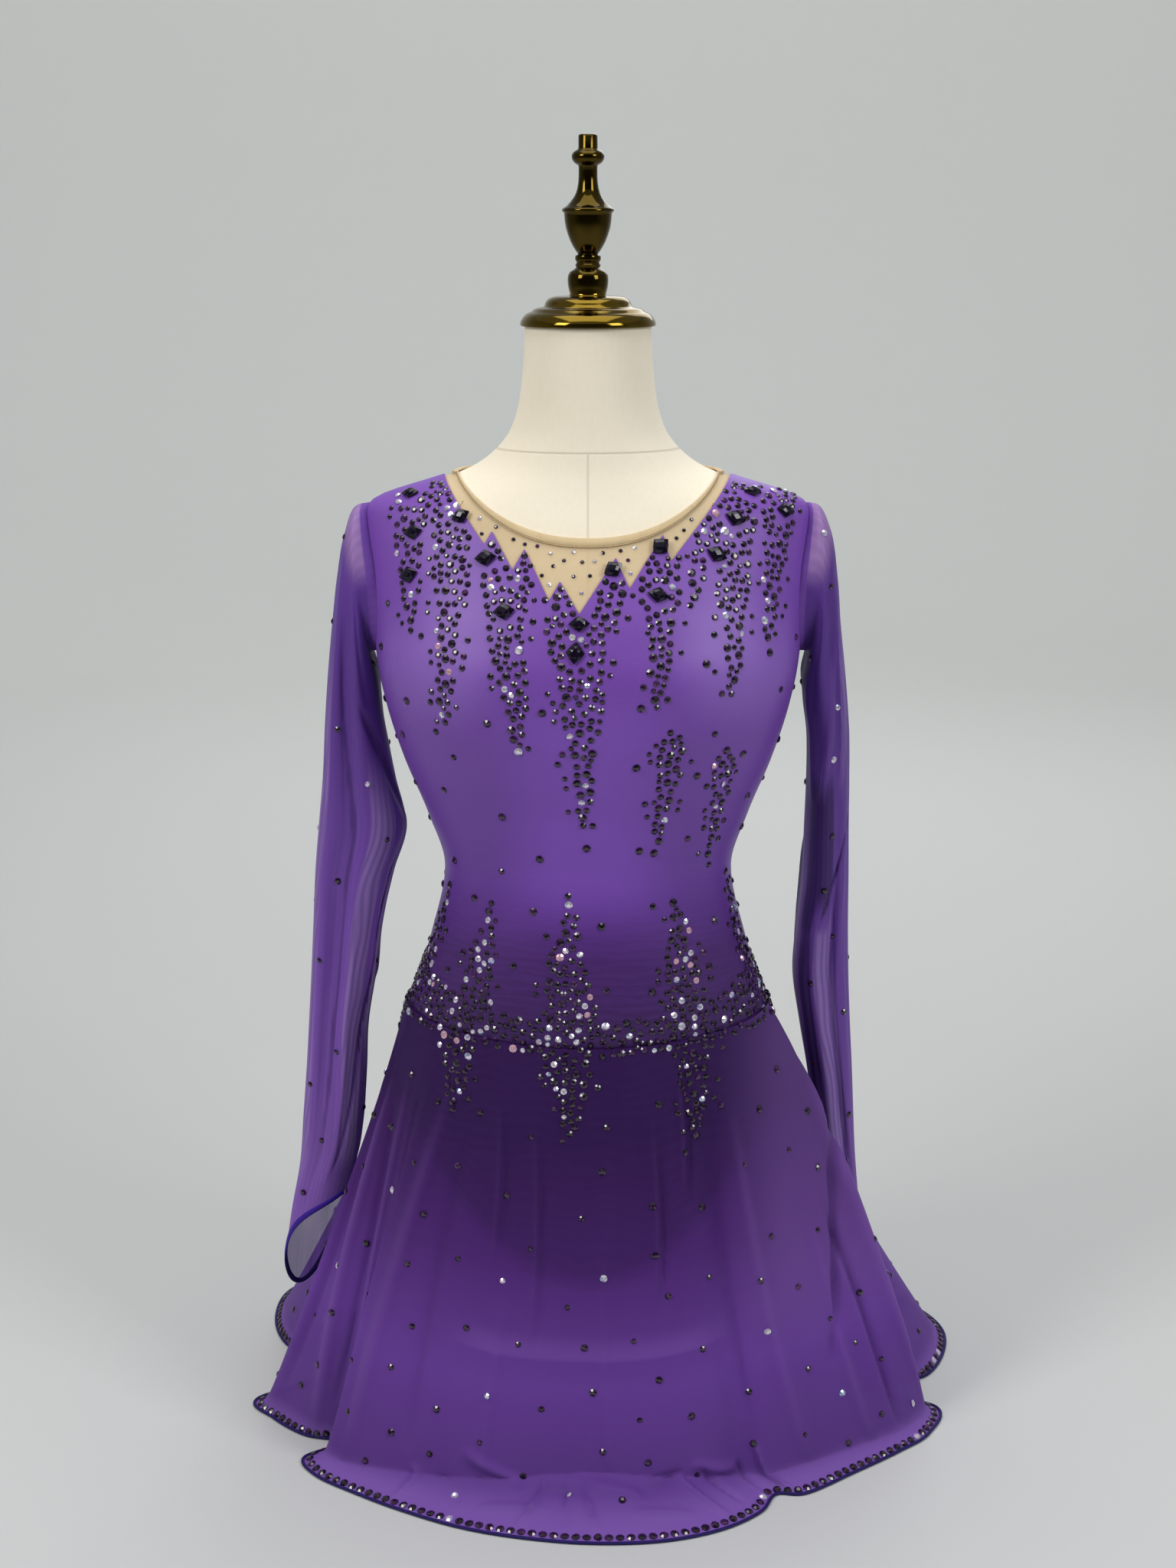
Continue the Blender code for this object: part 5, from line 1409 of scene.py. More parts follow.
# %% [markdown]
# ## Where the small stones go
# Almost three thousand flat-backed stones are glued on in tapering streaks: they
# hang from the shoulders, rise and fall from the hip, and thin to single stones.
# The streaks here follow a rule, not a drawing. Each has a place, a length, a
# width and a lean, and chance does the rest from a fixed seed: stones are
# thrown one at a time and kept where they clear the others.

# %% Surfaces that carry stones
FAR = 1.0


def tree_of(*things):
    """One search tree over the faces of several pieces."""
    points, faces = [], []
    for thing in things:
        start = len(points)
        points += [v.co.copy() for v in thing.data.vertices]
        faces += [[start + k for k in polygon.vertices] for polygon in thing.data.polygons]
    return BVHTree.FromPolygons(points, faces)


front_cloth = tree_of(bodice_front, skirt_front)
back_cloth = tree_of(bodice_back, skirt_back)
all_cloth = tree_of(bodice_front, bodice_back, skirt_front, skirt_back)


def seat(face, across, z):
    """The place and the outward direction of the cloth, seen from one side."""
    if face == "round":
        turn = math.radians(across)
        way = Vector((math.sin(turn), -math.cos(turn), 0))
        hit = all_cloth.ray_cast(FAR * way + Vector((0, 0, z)), -way)
    else:
        cloth, ahead = (front_cloth, -1) if face == "front" else (back_cloth, 1)
        way = Vector((0, ahead, 0))
        hit = cloth.ray_cast(Vector((across, ahead * FAR, z)), -way)
    if hit[0] is None:
        return None
    return hit[0], hit[1] if hit[1].dot(way) > 0 else -hit[1]


# %% Streaks
Streak = namedtuple("Streak", "face across top bottom width lean apex")
MM = 0.001
STREAK_ROWS = {
    "front": (
        (-0.139, 0.826, 0.722, 31, 0.000, 0.00), (-0.106, 0.837, 0.650, 38, -0.006, 0.00),
        (-0.072, 0.800, 0.630, 40, 0.020, 0.14), (-0.049, 0.786, 0.725, 24, -0.006, 0.50),
        (-0.021, 0.763, 0.700, 30, -0.002, 0.50), (-0.009, 0.740, 0.570, 42, 0.005, 0.06),
        (0.022, 0.781, 0.705, 34, -0.016, 0.45), (0.058, 0.797, 0.670, 38, -0.004, 0.14),
        (0.104, 0.838, 0.745, 30, -0.026, 0.00), (0.118, 0.832, 0.676, 40, -0.008, 0.00),
        (0.152, 0.826, 0.715, 29, -0.011, 0.00), (0.067, 0.652, 0.545, 24, -0.014, 0.15),
        (0.110, 0.630, 0.537, 20, -0.014, 0.15), (-0.079, 0.500, 0.402, 34, -0.016, 0.85),
        (-0.016, 0.516, 0.398, 46, -0.002, 0.90), (0.070, 0.503, 0.398, 44, 0.012, 0.85),
        (-0.108, 0.394, 0.327, 34, -0.002, 0.00), (-0.015, 0.390, 0.314, 44, 0.001, 0.00),
        (0.088, 0.390, 0.309, 36, -0.001, 0.00),
    ),
    "round": (
        (-76, 0.506, 0.410, 34, -4, 0.90), (76, 0.520, 0.410, 34, 4, 0.90),
        (-102, 0.480, 0.405, 30, -3, 0.90), (103, 0.490, 0.405, 30, 3, 0.90),
        (-94, 0.404, 0.335, 26, 1, 0.00), (93, 0.404, 0.345, 26, 1, 0.00),
    ),
    "back": (
        (-0.140, 0.826, 0.700, 30, 0.006, 0.00), (-0.112, 0.837, 0.662, 36, 0.010, 0.00),
        (-0.070, 0.760, 0.640, 34, 0.008, 0.16), (-0.030, 0.742, 0.650, 28, 0.004, 0.30),
        (0.002, 0.731, 0.575, 40, -0.003, 0.10), (0.036, 0.743, 0.640, 28, -0.006, 0.30),
        (0.074, 0.762, 0.655, 34, -0.008, 0.16), (0.114, 0.837, 0.670, 36, -0.008, 0.00),
        (0.142, 0.826, 0.706, 30, -0.006, 0.00), (-0.062, 0.498, 0.402, 42, -0.006, 0.88),
        (0.004, 0.520, 0.400, 46, -0.003, 0.90), (0.066, 0.494, 0.402, 42, 0.008, 0.88),
        (-0.080, 0.392, 0.322, 30, -0.002, 0.00), (0.002, 0.390, 0.312, 36, 0.002, 0.00),
        (0.084, 0.392, 0.318, 30, 0.002, 0.00),
    ),
}
STREAKS = [Streak(face, *row) for face, rows in STREAK_ROWS.items() for row in rows]
BELT_RISE = 0.0070
BELT_WIDTH = 0.026
BELT_SIDE_RISE = 0.008


def streak_width(streak, t):
    """Width at a share of the length: pointed or full at the top, thin below."""
    if streak.apex > 0.5:
        body = t ** 0.85
    else:
        body = min(1.0, 0.12 + t / max(streak.apex, 0.02)) * (1.0 - t) ** 0.66
    return streak.width * MM * body


# %% Throwing the stones
SEED = 24
rng = np.random.default_rng(SEED)
STONE_GAP = 0.0007
CELL = 0.010
LARGE, MIDDLE_SIZE, SMALL = 0.0034, 0.0027, 0.0022
DARK, CLEAR, ROSE = 0.0, 1.0, 2.0
tray = []
cells = {}


def cell_of(point):
    return tuple(int(math.floor(v / CELL)) for v in point)


def clear_of_others(point, radius, gap=STONE_GAP):
    """Whether no stone in the cells round a point comes too near."""
    home = cell_of(point)
    for step in product((-1, 0, 1), repeat=3):
        for other, size in cells.get(tuple(map(sum, zip(home, step))), ()):
            if (other - point).length < size + radius + gap:
                return False
    return True


def keep(point, normal, radius, tone, shown=True):
    """Sets a stone, or with shown off keeps its place free of stones."""
    cells.setdefault(cell_of(point), []).append((point, radius))
    if shown:
        tray.append((point, normal, radius, tone))


def throw(face, across, z, radius, tone, gap=STONE_GAP):
    found = seat(face, across, z)
    if found and clear_of_others(found[0], radius, gap):
        keep(found[0], found[1], radius, tone)
        return True
    return False


def tone_by_chance(clear_share):
    chance = rng.random()
    return CLEAR if chance < clear_share else ROSE if chance < clear_share * 1.15 else DARK


# %% [markdown]
# ## Large stones
# The biggest stones are rhombus shaped and sewn on. A cut stone shows crisp
# facets: a girdle, two rows of slanting facets and a flat table. Each stands on
# the cloth where the CAD has it, and the small stones keep clear of it.

# %% Large stones
Rhombus = namedtuple("Rhombus", "x z half_length half_width turn")
RHOMBS = table(Rhombus, (
    (-0.1360, 0.7955, 0.0085, 0.0065, 75), (-0.1390, 0.7635, 0.0090, 0.0070, 70),
    (-0.0985, 0.8090, 0.0080, 0.0065, 60), (-0.0787, 0.7790, 0.0090, 0.0070, 80),
    (-0.0640, 0.7410, 0.0090, 0.0070, 80), (-0.0067, 0.7330, 0.0085, 0.0065, 88),
    (-0.0097, 0.7120, 0.0090, 0.0075, 5), (0.0192, 0.7720, 0.0085, 0.0070, 60),
    (0.0557, 0.7880, 0.0085, 0.0075, 50), (0.0536, 0.7530, 0.0090, 0.0065, -75),
    (0.1143, 0.8070, 0.0090, 0.0070, -65), (0.0992, 0.7810, 0.0090, 0.0070, -60),
    (0.1548, 0.8100, 0.0085, 0.0065, -75), (-0.1400, 0.8215, 0.0080, 0.0060, 75),
    (0.1290, 0.8235, 0.0080, 0.0060, -80),
))
FacetRow = namedtuple("FacetRow", "size height shift")
FACET_ROWS = table(FacetRow, (
    (0.88, 0.0, 0.0), (1.0, 0.0012, 0.0), (0.97, 0.0019, 0.0), (0.72, 0.0035, 0.5),
    (0.34, 0.0044, 0.0),
))
RHOMB_LIFT = 0.0034
RHOMB_SIDES = 8
ROUNDING = 1.12
FREE_SHARE = 0.80

jet = Finish("black_crystal_large", Roughness=0.06, Specular_IOR_Level=0.4)
depth = jet.noise(jet.place(), 320.0, 1.0)
jet.feed("Base Color", jet.blend(depth, dye(8, 5, 12), dye(24, 14, 40)))


# %% Cutting a large stone
def rhomb_points(stone, centre, normal):
    """A cut stone's corners, ring by ring from its back to its table."""
    across = Vector((0, 0, 1)).cross(normal).normalized()
    upward = normal.cross(across)
    lean = math.radians(stone.turn)
    long_way = math.cos(lean) * upward + math.sin(lean) * across
    short_way = normal.cross(long_way)
    points = []
    for row in FACET_ROWS:
        for k in range(RHOMB_SIDES):
            turn = 2 * math.pi * (k + row.shift) / RHOMB_SIDES
            c, s = math.cos(turn), math.sin(turn)
            reach = row.size / (abs(c) ** ROUNDING + abs(s) ** ROUNDING) ** (1 / ROUNDING)
            corner = c * stone.half_length * long_way + s * stone.half_width * short_way
            points.append(centre + reach * corner + row.height * normal)
    return points


def turn_at(x, z):
    """The angle on the front where the form is x away from its middle."""
    return math.degrees(math.asin(x / HALF_WIDTH(z)))


def rhomb(number, stone):
    """One large stone; it also keeps the small ones away from its place."""
    turn, z = turn_at(stone.x, stone.z), np.array(stone.z)
    centre, normal = Vector(worn_point(turn, z, RHOMB_LIFT)), Vector(torso_normal(turn, z))
    faces = []
    for a, b, beyond, above in tube_faces(len(FACET_ROWS), RHOMB_SIDES).tolist():
        faces += [(a, b, beyond), (a, beyond, above)]
    last = (len(FACET_ROWS) - 1) * RHOMB_SIDES
    faces += [tuple(range(RHOMB_SIDES))[::-1], tuple(last + k for k in range(RHOMB_SIDES))]
    mesh = bpy.data.meshes.new("rhomb_%02d" % number)
    mesh.from_pydata(rhomb_points(stone, centre, normal), [], faces)
    mesh.materials.append(jet.material)
    found = seat("front", stone.x, stone.z)
    place = found[0] if found else centre
    keep(place, normal, FREE_SHARE * stone.half_length, DARK, shown=False)
    return linked(mesh.name, mesh)


rhombs = [rhomb(number, stone) for number, stone in enumerate(RHOMBS, 1)]
print("large stones:", len(rhombs))

# %% Streaks of small stones
THROWS = 700000
STRAYS = 150
STRAY_GAP = 0.0020
SWAY = 0.0015
EDGE_KNOTS = np.linspace(0, 1, 9)
HIP_LEVEL = 0.42
HIP_CLEAR_SHARE, CLEAR_SHARE = 0.14, 0.07
HIP_RADIUS = 0.125


def place_in_streak(streak, t, shift, under_edge):
    """Where a stone falls in a streak, or nothing where it would lie on the yoke."""
    z = streak.top - t * (streak.top - streak.bottom)
    middle = streak.across + streak.lean * t
    if streak.face == "front" and z > yoke_edge(middle + shift) - under_edge:
        return None
    return middle + shift * (math.degrees(1.0) / HIP_RADIUS if streak.face == "round" else 1.0), z


for streak in STREAKS:
    length = streak.top - streak.bottom
    at_hip = streak.bottom < HIP_LEVEL and streak.apex > 0.5
    throws = length * streak.width * MM * THROWS
    sizes = ((LARGE, int(5 + length * 60)), (MIDDLE_SIZE, int(throws * 0.5)), (SMALL, int(throws)))
    sway = rng.normal(0, SWAY, 6)
    edges = rng.uniform(0.72, 1.18, (2, len(EDGE_KNOTS)))
    for radius, tries in sizes:
        for _ in range(tries):
            t = rng.random()
            side = rng.random() - 0.5
            wide = streak_width(streak, t) * np.interp(t, EDGE_KNOTS, edges[int(side > 0)])
            shift = side * wide + np.interp(t * 5, range(6), sway)
            place = place_in_streak(streak, t, shift, SMALL)
            if place:
                tone = tone_by_chance(HIP_CLEAR_SHARE if at_hip else CLEAR_SHARE)
                throw(streak.face, *place, radius, tone)
    for _ in range(int(length * STRAYS)):
        t = rng.uniform(0.1, 1.06)
        away = rng.choice((-1, 1)) * (streak_width(streak, min(t, 1.0)) / 2
                                      + rng.uniform(0.002, 0.008))
        place = place_in_streak(streak, t, away, 2 * STRAY_GAP)
        if place:
            radius = float(rng.choice((SMALL, MIDDLE_SIZE)))
            throw(streak.face, *place, radius, DARK, STRAY_GAP)
print("stones in streaks:", len(tray))

# %% Belt of stones round the hip
BELT_CLEAR_SHARE = 0.18
for radius, tries in ((LARGE, 160), (MIDDLE_SIZE, 6000), (SMALL, 9000)):
    for _ in range(tries):
        angle = rng.uniform(-180, 180)
        side = abs(math.sin(math.radians(angle))) ** 6
        middle = float(seam_height(angle)) + BELT_RISE + BELT_SIDE_RISE * side
        z = middle + (rng.random() - 0.5) * BELT_WIDTH * (1 + 0.7 * side)
        throw("round", angle, z, radius, tone_by_chance(BELT_CLEAR_SHARE))
print("stones with the belt:", len(tray))

# %% [markdown]
# Between the streaks single stones are scattered, a few centimetres apart.

# %% Single stones
SINGLE_GAP = 0.0035


def scatter(strewn):
    """Seeded single stones over a grid of points, none closer than a spacing."""
    grid, normals, set_here = strewn.grid, outward_normals(strewn.grid, strewn.ring), []
    first, last = (int(share * len(grid)) for share in strewn.rows)
    for _ in range(strewn.tries):
        r, c = int(rng.integers(first, last)), int(rng.integers(2, grid.shape[1] - 2))
        point, normal = Vector(grid[r, c]), Vector(normals[r, c])
        radius = float(rng.choice(strewn.sizes))
        if any((point - other).length < strewn.spacing for other in set_here):
            continue
        if not clear_of_others(point, radius, SINGLE_GAP):
            continue
        keep(point, normal, radius, tone_by_chance(strewn.clear_share))
        set_here.append(point)
    return len(set_here)


def worn_grid(side, low, high, rows=90):
    z = np.linspace(low, high, rows)[:, None] + 0 * side.shares
    return worn_point(side.angle_at(side.shares, z), z, BODICE_OUT + BODICE_WALL)


Strewn = namedtuple("Strewn", "grid ring spacing tries sizes clear_share rows")
STREWN = [Strewn(grid, False, 0.037, 1500, (0.0024, 0.0028, 0.0032), 0.10, (0.12, 0.93))
          for grid in (front_grid, back_grid)]
STREWN += [Strewn(grid, False, 0.036, 700, (0.0027, 0.0033), 0.04, (0, 1))
           for grid in (worn_grid(FRONT, 0.43, 0.74), worn_grid(BACK, 0.43, 0.70))]
STREWN += [Strewn(sleeve_grids[side], True, 0.042, 700, (0.0025, 0.0029), 0.10, (0.03, 0.95))
           for side in (-1, 1)]
print("single stones:", [scatter(strewn) for strewn in STREWN])

# %% Stones on the yoke
YOKE_STONE = 0.0016
YOKE_STONE_OUT = 0.0014
YOKE_STONE_CLEAR = 0.0015
YOKE_MARGIN = 0.003


def on_front_yoke(x, z):
    top = neckline(x, NECKLINE_CENTRE) - NECK_BINDING_WIDTH - YOKE_MARGIN
    return yoke_edge(x) + YOKE_MARGIN < z < top


def on_back_yoke(x, z):
    return back_yoke_edge(x) + 2 * YOKE_MARGIN < z


def stud_yoke(tries, x_range, z_range, fits, turned_to, gap):
    """Sets tiny stones on the net, black or clear by an even chance."""
    for _ in range(tries):
        x, z = rng.uniform(*x_range), rng.uniform(*z_range)
        if fits(x, z):
            turn = turned_to(turn_at(x, z))
            point = Vector(worn_point(turn, np.array(z), YOKE_STONE_OUT))
            if clear_of_others(point, YOKE_STONE_CLEAR, gap):
                normal = Vector(torso_normal(turn, np.array(z)))
                keep(point, normal, YOKE_STONE, DARK if rng.random() < 0.5 else CLEAR)


stud_yoke(1500, (-0.085, 0.09), (0.745, 0.83), on_front_yoke, lambda turn: turn, 0.0060)
stud_yoke(900, (-0.12, 0.12), (0.735, 0.825), on_back_yoke, lambda turn: 180.0 - turn, 0.0110)
print("stones with the yoke:", len(tray))

# %% Row of stones inside the hem
HEM_STONE = 0.0036
HEM_PITCH = 0.0090
HEM_INSET = 0.0066
HEM_CLEAR_SHARE = 0.04
ON_FLOOR = 0.004
EDGE_ROWS = 11


def hem_row(grid):
    """Even stones just inside the hem of one half of the skirt."""
    edge_rows = grid[::-1][:EDGE_ROWS]
    depths = np.linalg.norm(edge_rows - grid[-1], axis=-1)
    line = np.array([[np.interp(HEM_INSET, depths[:, c], edge_rows[:, c, k]) for k in range(3)]
                     for c in range(grid.shape[1])])
    normals = outward_normals(grid)[-4]
    lengths = run_lengths(line, False)
    count = round(lengths[-1] / HEM_PITCH)
    for at in (np.arange(count) + 0.5) * lengths[-1] / count:
        point, normal = (Vector([np.interp(at, lengths, values[:, k]) for k in range(3)])
                         for values in (line, normals))
        if point.z < ON_FLOOR and normal.z < 0:
            normal = -normal
        tone = DARK if rng.random() > HEM_CLEAR_SHARE else CLEAR
        keep(point, normal.normalized(), HEM_STONE, tone)


for grid in (front_grid, back_grid):
    hem_row(grid)
print("all small stones:", len(tray))

# %% [markdown]
# ## Setting the stones with Geometry Nodes
# One stone is a low drum of eight sides whose upper part is drawn in: a steep
# girdle, a ring of slanting facets and a flat table. The tree puts a copy on
# every point, turned to the cloth's own direction and scaled by the point's
# size, and makes them real.

# %% Node trees
class Tree:
    """A Geometry Nodes tree, with named inputs and a maker of its nodes."""

    def __init__(self, name, sizes):
        self.tree = bpy.data.node_groups.new(name, "GeometryNodeTree")
        face = self.tree.interface
        face.new_socket("Geometry", in_out="INPUT", socket_type="NodeSocketGeometry")
        self.sizes = {}
        for label, value in sizes.items():
            kind = "NodeSocketInt" if isinstance(value, int) else "NodeSocketFloat"
            made = face.new_socket(label, in_out="INPUT", socket_type=kind)
            made.default_value = value
            self.sizes[made.identifier] = value
        face.new_socket("Geometry", in_out="OUTPUT", socket_type="NodeSocketGeometry")
        self.start = self.tree.nodes.new("NodeGroupInput")
        self.end = self.tree.nodes.new("NodeGroupOutput")

    def given(self, label):
        return self.start.outputs[label]

    def attribute(self, name, kind="FLOAT"):
        return self.node("GeometryNodeInputNamedAttribute", {"data_type": kind}, {"Name": name})

    def maths(self, operation, *values):
        return self.node("ShaderNodeMath", {"operation": operation}, enumerate(values))

    def node(self, kind, settings=(), sockets=(), out=0):
        made = self.tree.nodes.new(kind)
        for key, value in dict(settings).items():
            setattr(made, key, value)
        for key, value in dict(sockets).items():
            if isinstance(value, bpy.types.NodeSocket):
                self.tree.links.new(value, made.inputs[key])
            else:
                made.inputs[key].default_value = value
        return made.outputs[out]

    def finish(self, geometry, look):
        real = self.node("GeometryNodeRealizeInstances", (), {0: geometry})
        dressed = self.node("GeometryNodeSetMaterial", (),
                            {"Geometry": real, "Material": look.material})
        self.tree.links.new(dressed, self.end.inputs[0])


def grown(name, mesh, tree):
    """Runs a tree on a mesh and keeps only the plain mesh that it makes."""
    thing = linked(name, mesh)
    modifier = thing.modifiers.new(name, "NODES")
    modifier.node_group = tree.tree
    for identifier, size in tree.sizes.items():
        modifier[identifier] = size
    ready = thing.evaluated_get(bpy.context.evaluated_depsgraph_get())
    made = bpy.data.meshes.new_from_object(ready)
    thing.modifiers.clear()
    thing.data = made
    made.name = name
    return thing


# %% Crystal
gem = Finish("small_crystals", Roughness=0.05, Specular_IOR_Level=0.85)
tone = gem.attribute("tone")
flick = gem.noise(gem.place(), 170.0, 1.0)
rose_mask = tone.smooth(1.3, 1.7)
clear_mask = tone.smooth(0.3, 0.7) * (1.0 - rose_mask)
dark_colour = gem.ramp(flick, dyes((0.35, (15, 4, 20)), (0.55, (34, 11, 42)),
                                   (0.72, (70, 28, 82))))
clear_colour = gem.ramp(flick, dyes((0.30, (190, 200, 230)), (0.45, (244, 244, 246)),
                                    (0.58, (225, 205, 235)), (0.70, (150, 185, 220))))
colour = gem.blend(clear_mask, dark_colour, clear_colour)
gem.feed("Base Color", gem.blend(rose_mask, colour, dye(216, 172, 190)))
gem.feed("Metallic", clear_mask * 0.6 + rose_mask * 0.4)
print("crystal:", len(gem.tree.nodes), "nodes")

# %% Stone tree
stones = Tree("set_stones", {"Sides": 8, "Height": 0.50, "Girdle": 0.16, "Table": 0.46})
blank = stones.node("GeometryNodeMeshCone", {"fill_type": "NGON"}, {
    "Vertices": stones.given("Sides"), "Side Segments": 2, "Radius Top": 1.0,
    "Radius Bottom": 1.0, "Depth": stones.given("Height")})
place = stones.node("GeometryNodeInputPosition")
px, py, pz = (stones.node("ShaderNodeSeparateXYZ", (), {0: place}, out=k) for k in range(3))
level = stones.maths("DIVIDE", pz, stones.given("Height"))
upper = stones.maths("GREATER_THAN", level, 0.75)
middle = stones.maths("COMPARE", level, 0.5, 0.2)
narrow = stones.node("ShaderNodeMapRange", (), {
    "Value": upper, "To Min": 1.0, "To Max": stones.given("Table")})
height = stones.node("ShaderNodeMapRange", (), {
    "Value": middle, "To Min": pz, "To Max": stones.given("Girdle")})
cut_place = stones.node("ShaderNodeCombineXYZ", (), {
    0: stones.maths("MULTIPLY", px, narrow), 1: stones.maths("MULTIPLY", py, narrow), 2: height})
one_stone = stones.node("GeometryNodeSetPosition", (), {
    "Geometry": blank, "Position": cut_place})
aimed = stones.node("FunctionNodeAlignRotationToVector", {"axis": "Z"}, {
    "Vector": stones.attribute("outward", "FLOAT_VECTOR")})
twist = stones.node("FunctionNodeAxisAngleToRotation", (), {
    "Axis": (0, 0, 1), "Angle": stones.attribute("spin")})
turned_stone = stones.node("FunctionNodeRotateRotation", {"rotation_space": "LOCAL"}, {
    "Rotation": aimed, "Rotate By": twist})
placed = stones.node("GeometryNodeInstanceOnPoints", (), {
    "Points": stones.given("Geometry"), "Instance": one_stone, "Rotation": turned_stone,
    "Scale": stones.attribute("size")})
stones.finish(placed, gem)
print("stone tree:", len(stones.tree.nodes), "nodes")

# %% Small stones
TILT = 0.10
SINK = 0.0001
FULL_TURN = 6.283


def give(mesh, label, data):
    """Writes a number or a direction on every point of a mesh."""
    kind, key = ("FLOAT_VECTOR", "vector") if np.ndim(data) == 2 else ("FLOAT", "value")
    values = np.ravel(data).astype(np.float32)
    mesh.attributes.new(label, kind, "POINT").data.foreach_set(key, values)


def stone_points(name, chosen):
    """A mesh of bare points that carries each stone's direction, size and tone."""
    mesh = bpy.data.meshes.new(name)
    places, ways, sizes, tones = (np.array(column) for column in zip(*chosen))
    normals = unit(ways + rng.normal(0, TILT, (len(chosen), 3)))
    mesh.from_pydata((places + normals * SINK).tolist(), [], [])
    give(mesh, "outward", normals)
    give(mesh, "size", sizes)
    give(mesh, "tone", tones)
    give(mesh, "spin", rng.uniform(0, FULL_TURN, len(chosen)))
    return mesh


WAIST_LEVEL = 0.56
stone_sets = []
for part, upper in (("bodice_", True), ("", False)):
    for face, ahead in (("front", True), ("back", False)):
        name = "stones_" + part + face
        chosen = [stone for stone in tray
                  if (stone[0].y < 0) == ahead and (stone[0].z > WAIST_LEVEL) == upper]
        stone_sets.append(grown(name, stone_points(name, chosen), stones))
        print(name, len(chosen), "stones,", triangles(stone_sets[-1]), "triangles")

# %% [markdown]
# ## Stitches on the neck band
# The folded band is held by a row of small stitches along its lower edge. They
# follow the ring of the neckline at one even pitch, so a tree sets them: it
# makes a curve of the ring, measures it into steps and lays a thread at each.

# %% Stitches
thread = Finish("band_thread", Roughness=0.6, Sheen_Weight=0.2)
fibre = thread.noise(thread.place(), 500.0)
thread.feed("Base Color", thread.blend(fibre, dye(214, 192, 150), dye(170, 142, 98)))

stitches = Tree("stitch_row", {"Pitch": 0.0014, "Length": 0.0026, "Thread": 0.00018})
ring = stitches.node("GeometryNodeMeshToCurve", (), {0: stitches.given("Geometry")})
steps = stitches.node("GeometryNodeResampleCurve", {"mode": "LENGTH"}, {
    "Curve": ring, "Length": stitches.given("Pitch")})
aim = stitches.node("FunctionNodeAlignRotationToVector", {"axis": "Z"}, {
    "Vector": stitches.attribute("upward", "FLOAT_VECTOR")})
one_thread = stitches.node("GeometryNodeMeshCylinder", (), {
    "Vertices": 6, "Radius": stitches.given("Thread"), "Depth": stitches.given("Length")})
laid = stitches.node("GeometryNodeInstanceOnPoints", (), {
    "Points": steps, "Instance": one_thread, "Rotation": aim})
stitches.finish(laid, thread)

SLANT = 0.35
FOOT_ON_BAND = (0.97, 0.0026)
HEAD_ON_BAND = (0.55, 0.0034)
edge, above = neck_line(*FOOT_ON_BAND), neck_line(*HEAD_ON_BAND)
count = len(edge)
mesh = bpy.data.meshes.new("band_stitches")
mesh.from_pydata(((edge + above) / 2).tolist(), [(k, (k + 1) % count) for k in range(count)], [])
give(mesh, "upward", unit(unit(above - edge) + SLANT * unit(np.roll(edge, -1, axis=0) - edge)))
band_stitches = grown("band_stitches", mesh, stitches)
print("stitches:", triangles(band_stitches), "triangles")

# %% [markdown]
# ## The pieces on the body
# Every piece rides on the one body, and the CAD solid that it stands for, where it
# has one, is hidden. The table also names the finish each piece takes, which
# nothing here reads.

# %% Pieces and their solids
CAD_STONES = 13
PIECES = (
    (form_cloth, "form_linen", ("form_torso",)),
    (finial, "polished_brass", ("form_finial",)),
    (bodice_front, "violet_stretch", ("bodice_front",)),
    (bodice_back, "violet_stretch", ("bodice_back",)),
    (yoke_front, "nude_mesh", ("yoke_front",)),
    (yoke_back, "nude_mesh", ("yoke_back",)),
    (neck_band, "nude_mesh", ("neck_binding",)),
    (sleeve_left, "sheer_violet", ("sleeve_left",)),
    (sleeve_right, "sheer_violet", ("sleeve_right",)),
    (cuff_cords["left"], "deep_binding", ("cuff_binding_left",)),
    (cuff_cords["right"], "deep_binding", ("cuff_binding_right",)),
    (trunks["front"], "violet_stretch", ("trunks_front",)),
    (trunks["back"], "violet_stretch", ("trunks_back",)),
    (skirt_front, "sheer_violet", ("skirt_front",)),
    (skirt_back, "sheer_violet", ("skirt_back",)),
    (hem_cord, "deep_binding", ("hem_binding",)),
    (band_stitches, "nude_mesh", ()),
)
PIECES += tuple((stone_set, "black_crystal", ()) for stone_set in stone_sets)
PIECES += tuple((stone, "black_crystal", ("stone_%02d" % number,) if number <= CAD_STONES else ())
                for number, stone in enumerate(rhombs, 1))
for piece, slot, nodes in PIECES:
    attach(piece, "root")
    if nodes:
        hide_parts(*nodes)

# %% [markdown]
# ## What each sheet was cut as
# A sheet of cloth is listed with the size of the flat piece that it was cut
# from, and printed beside the area of its worn faces. The stretched pieces were
# cut about a tenth smaller than the form.

# %% Cut sizes
Cut = namedtuple("Cut", "piece flat area held on with_pieces", defaults=((),))
CUTS = table(Cut, (
    (bodice_front, (0.40, 0.45), 0.155, "stretched", form_cloth),
    (bodice_back, (0.40, 0.39), 0.125, "stretched", form_cloth),
    (yoke_front, (0.25, 0.10), 0.0078, "stretched", form_cloth, (neck_band, band_stitches)),
    (yoke_back, (0.35, 0.125), 0.038, "stretched", form_cloth),
    (sleeve_left, (0.22, 0.68), 0.105, "hung", bodice_front, (cuff_cords["left"],)),
    (sleeve_right, (0.22, 0.68), 0.105, "hung", bodice_front, (cuff_cords["right"],)),
    (trunks["front"], (0.38, 0.22), 0.073, "stretched", form_cloth),
    (trunks["back"], (0.38, 0.24), 0.081, "stretched", form_cloth),
    (skirt_front, (0.94, 0.52), 0.290, "hung", bodice_front, (hem_cord,)),
    (skirt_back, (1.00, 0.53), 0.330, "hung", bodice_back),
))
for cut in CUTS:
    faces = sum(polygon.area for polygon in cut.piece.data.polygons)
    print(cut.piece.name, "cut", cut.flat, "worn faces %.3f m2" % faces)

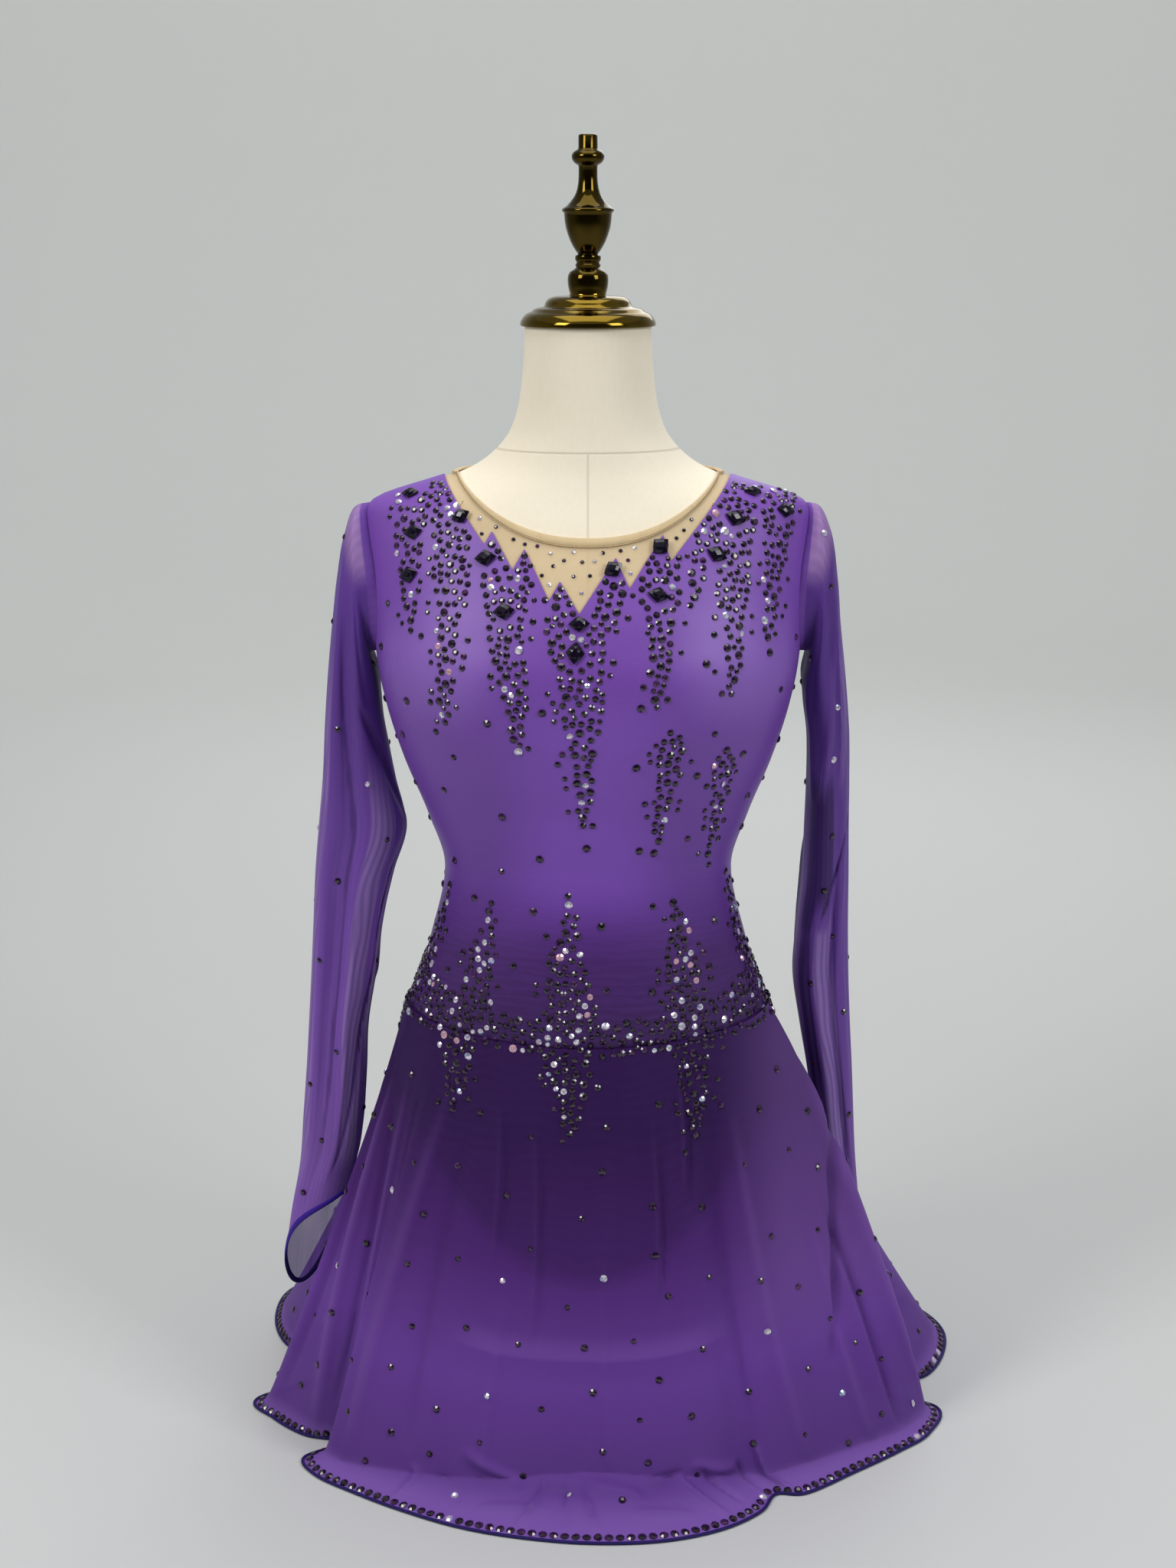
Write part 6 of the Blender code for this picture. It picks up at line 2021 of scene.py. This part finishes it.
# %% [markdown]
# ## Floor and light
# A pale floor that curves up far away and grows darker behind the camera, so
# that brass and stones have something dark to reflect. Soft lights stand to
# the front left and right, one hangs above, a weak one stands behind and one
# lights the wall.

# %% Floor
FLOOR_FLAT = 3.6
FLOOR_CURVE = 1.4
FLOOR_WALL = 3.0
FLOOR_SIDES = 96
FLOOR_MIDDLE = 0.001

paper = Finish("studio_floor", Roughness=0.9)
py = paper.numbers(paper.place())[1]
paper.feed("Base Color", paper.ramp((py + 4.0) / 8.0, [
    (0.10, (0.16, 0.16, 0.165, 1.0)), (0.36, (0.58, 0.585, 0.585, 1.0)),
    (0.62, (0.60, 0.61, 0.605, 1.0)), (0.95, (0.78, 0.80, 0.78, 1.0))]))

bend = np.linspace(0.15, math.pi / 2, 10)
rise = np.linspace(0.5, FLOOR_WALL, 4)
radii = np.concatenate([[FLOOR_MIDDLE], np.linspace(0.5, FLOOR_FLAT, 6),
                        FLOOR_FLAT + FLOOR_CURVE * np.sin(bend),
                        FLOOR_FLAT + FLOOR_CURVE + 0 * rise])
levels = np.concatenate([np.zeros(7), FLOOR_CURVE * (1 - np.cos(bend)), FLOOR_CURVE + rise])
floor = tube("studio_floor", turned(radii, levels, FLOOR_SIDES), paper, capped=False)
print("floor:", triangles(floor), "triangles")

# %% Lights
SKY_COLOUR = (0.96, 0.98, 1.0, 1.0)
SKY_STRENGTH = 0.35
world = bpy.data.worlds.new("studio")
world.use_nodes = True
sky = world.node_tree.nodes["Background"].inputs
sky[0].default_value, sky[1].default_value = SKY_COLOUR, SKY_STRENGTH
scene.world = world


def soft_light(name, place, aim, size, power, colour=(1, 1, 1)):
    data = bpy.data.lights.new(name, "AREA")
    data.shape = "RECTANGLE"
    data.size, data.size_y = size
    data.energy = power
    data.color = colour
    light = bpy.data.objects.new(name, data)
    light.location = place
    light.rotation_euler = (Vector(aim) - Vector(place)).to_track_quat("-Z", "Y").to_euler()
    scene.collection.objects.link(light)


soft_light("key", (-1.8, -1.6, 2.2), (0, 0, 0.7), (0.9, 1.2), 36.0, (1.0, 0.985, 0.96))
soft_light("fill", (1.9, -1.6, 2.0), (0, 0, 0.65), (0.9, 1.2), 29.0, (0.98, 0.99, 1.0))
soft_light("top", (0.0, -0.1, 2.9), (0, 0, 0.3), (2.0, 2.0), 28.0)
soft_light("back_fill", (0.6, 2.4, 2.2), (0, 0, 0.6), (1.6, 1.6), 12.0)
soft_light("wall", (0.0, 2.2, 2.9), (0, 5.0, 1.0), (3.0, 0.8), 24.0)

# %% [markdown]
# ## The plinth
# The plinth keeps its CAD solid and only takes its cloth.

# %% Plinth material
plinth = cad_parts["form_plinth"]
plinth.data.materials.clear()
plinth.data.materials.append(cover.material)
print("plinth:", plinth.name, "takes", cover.material.name)
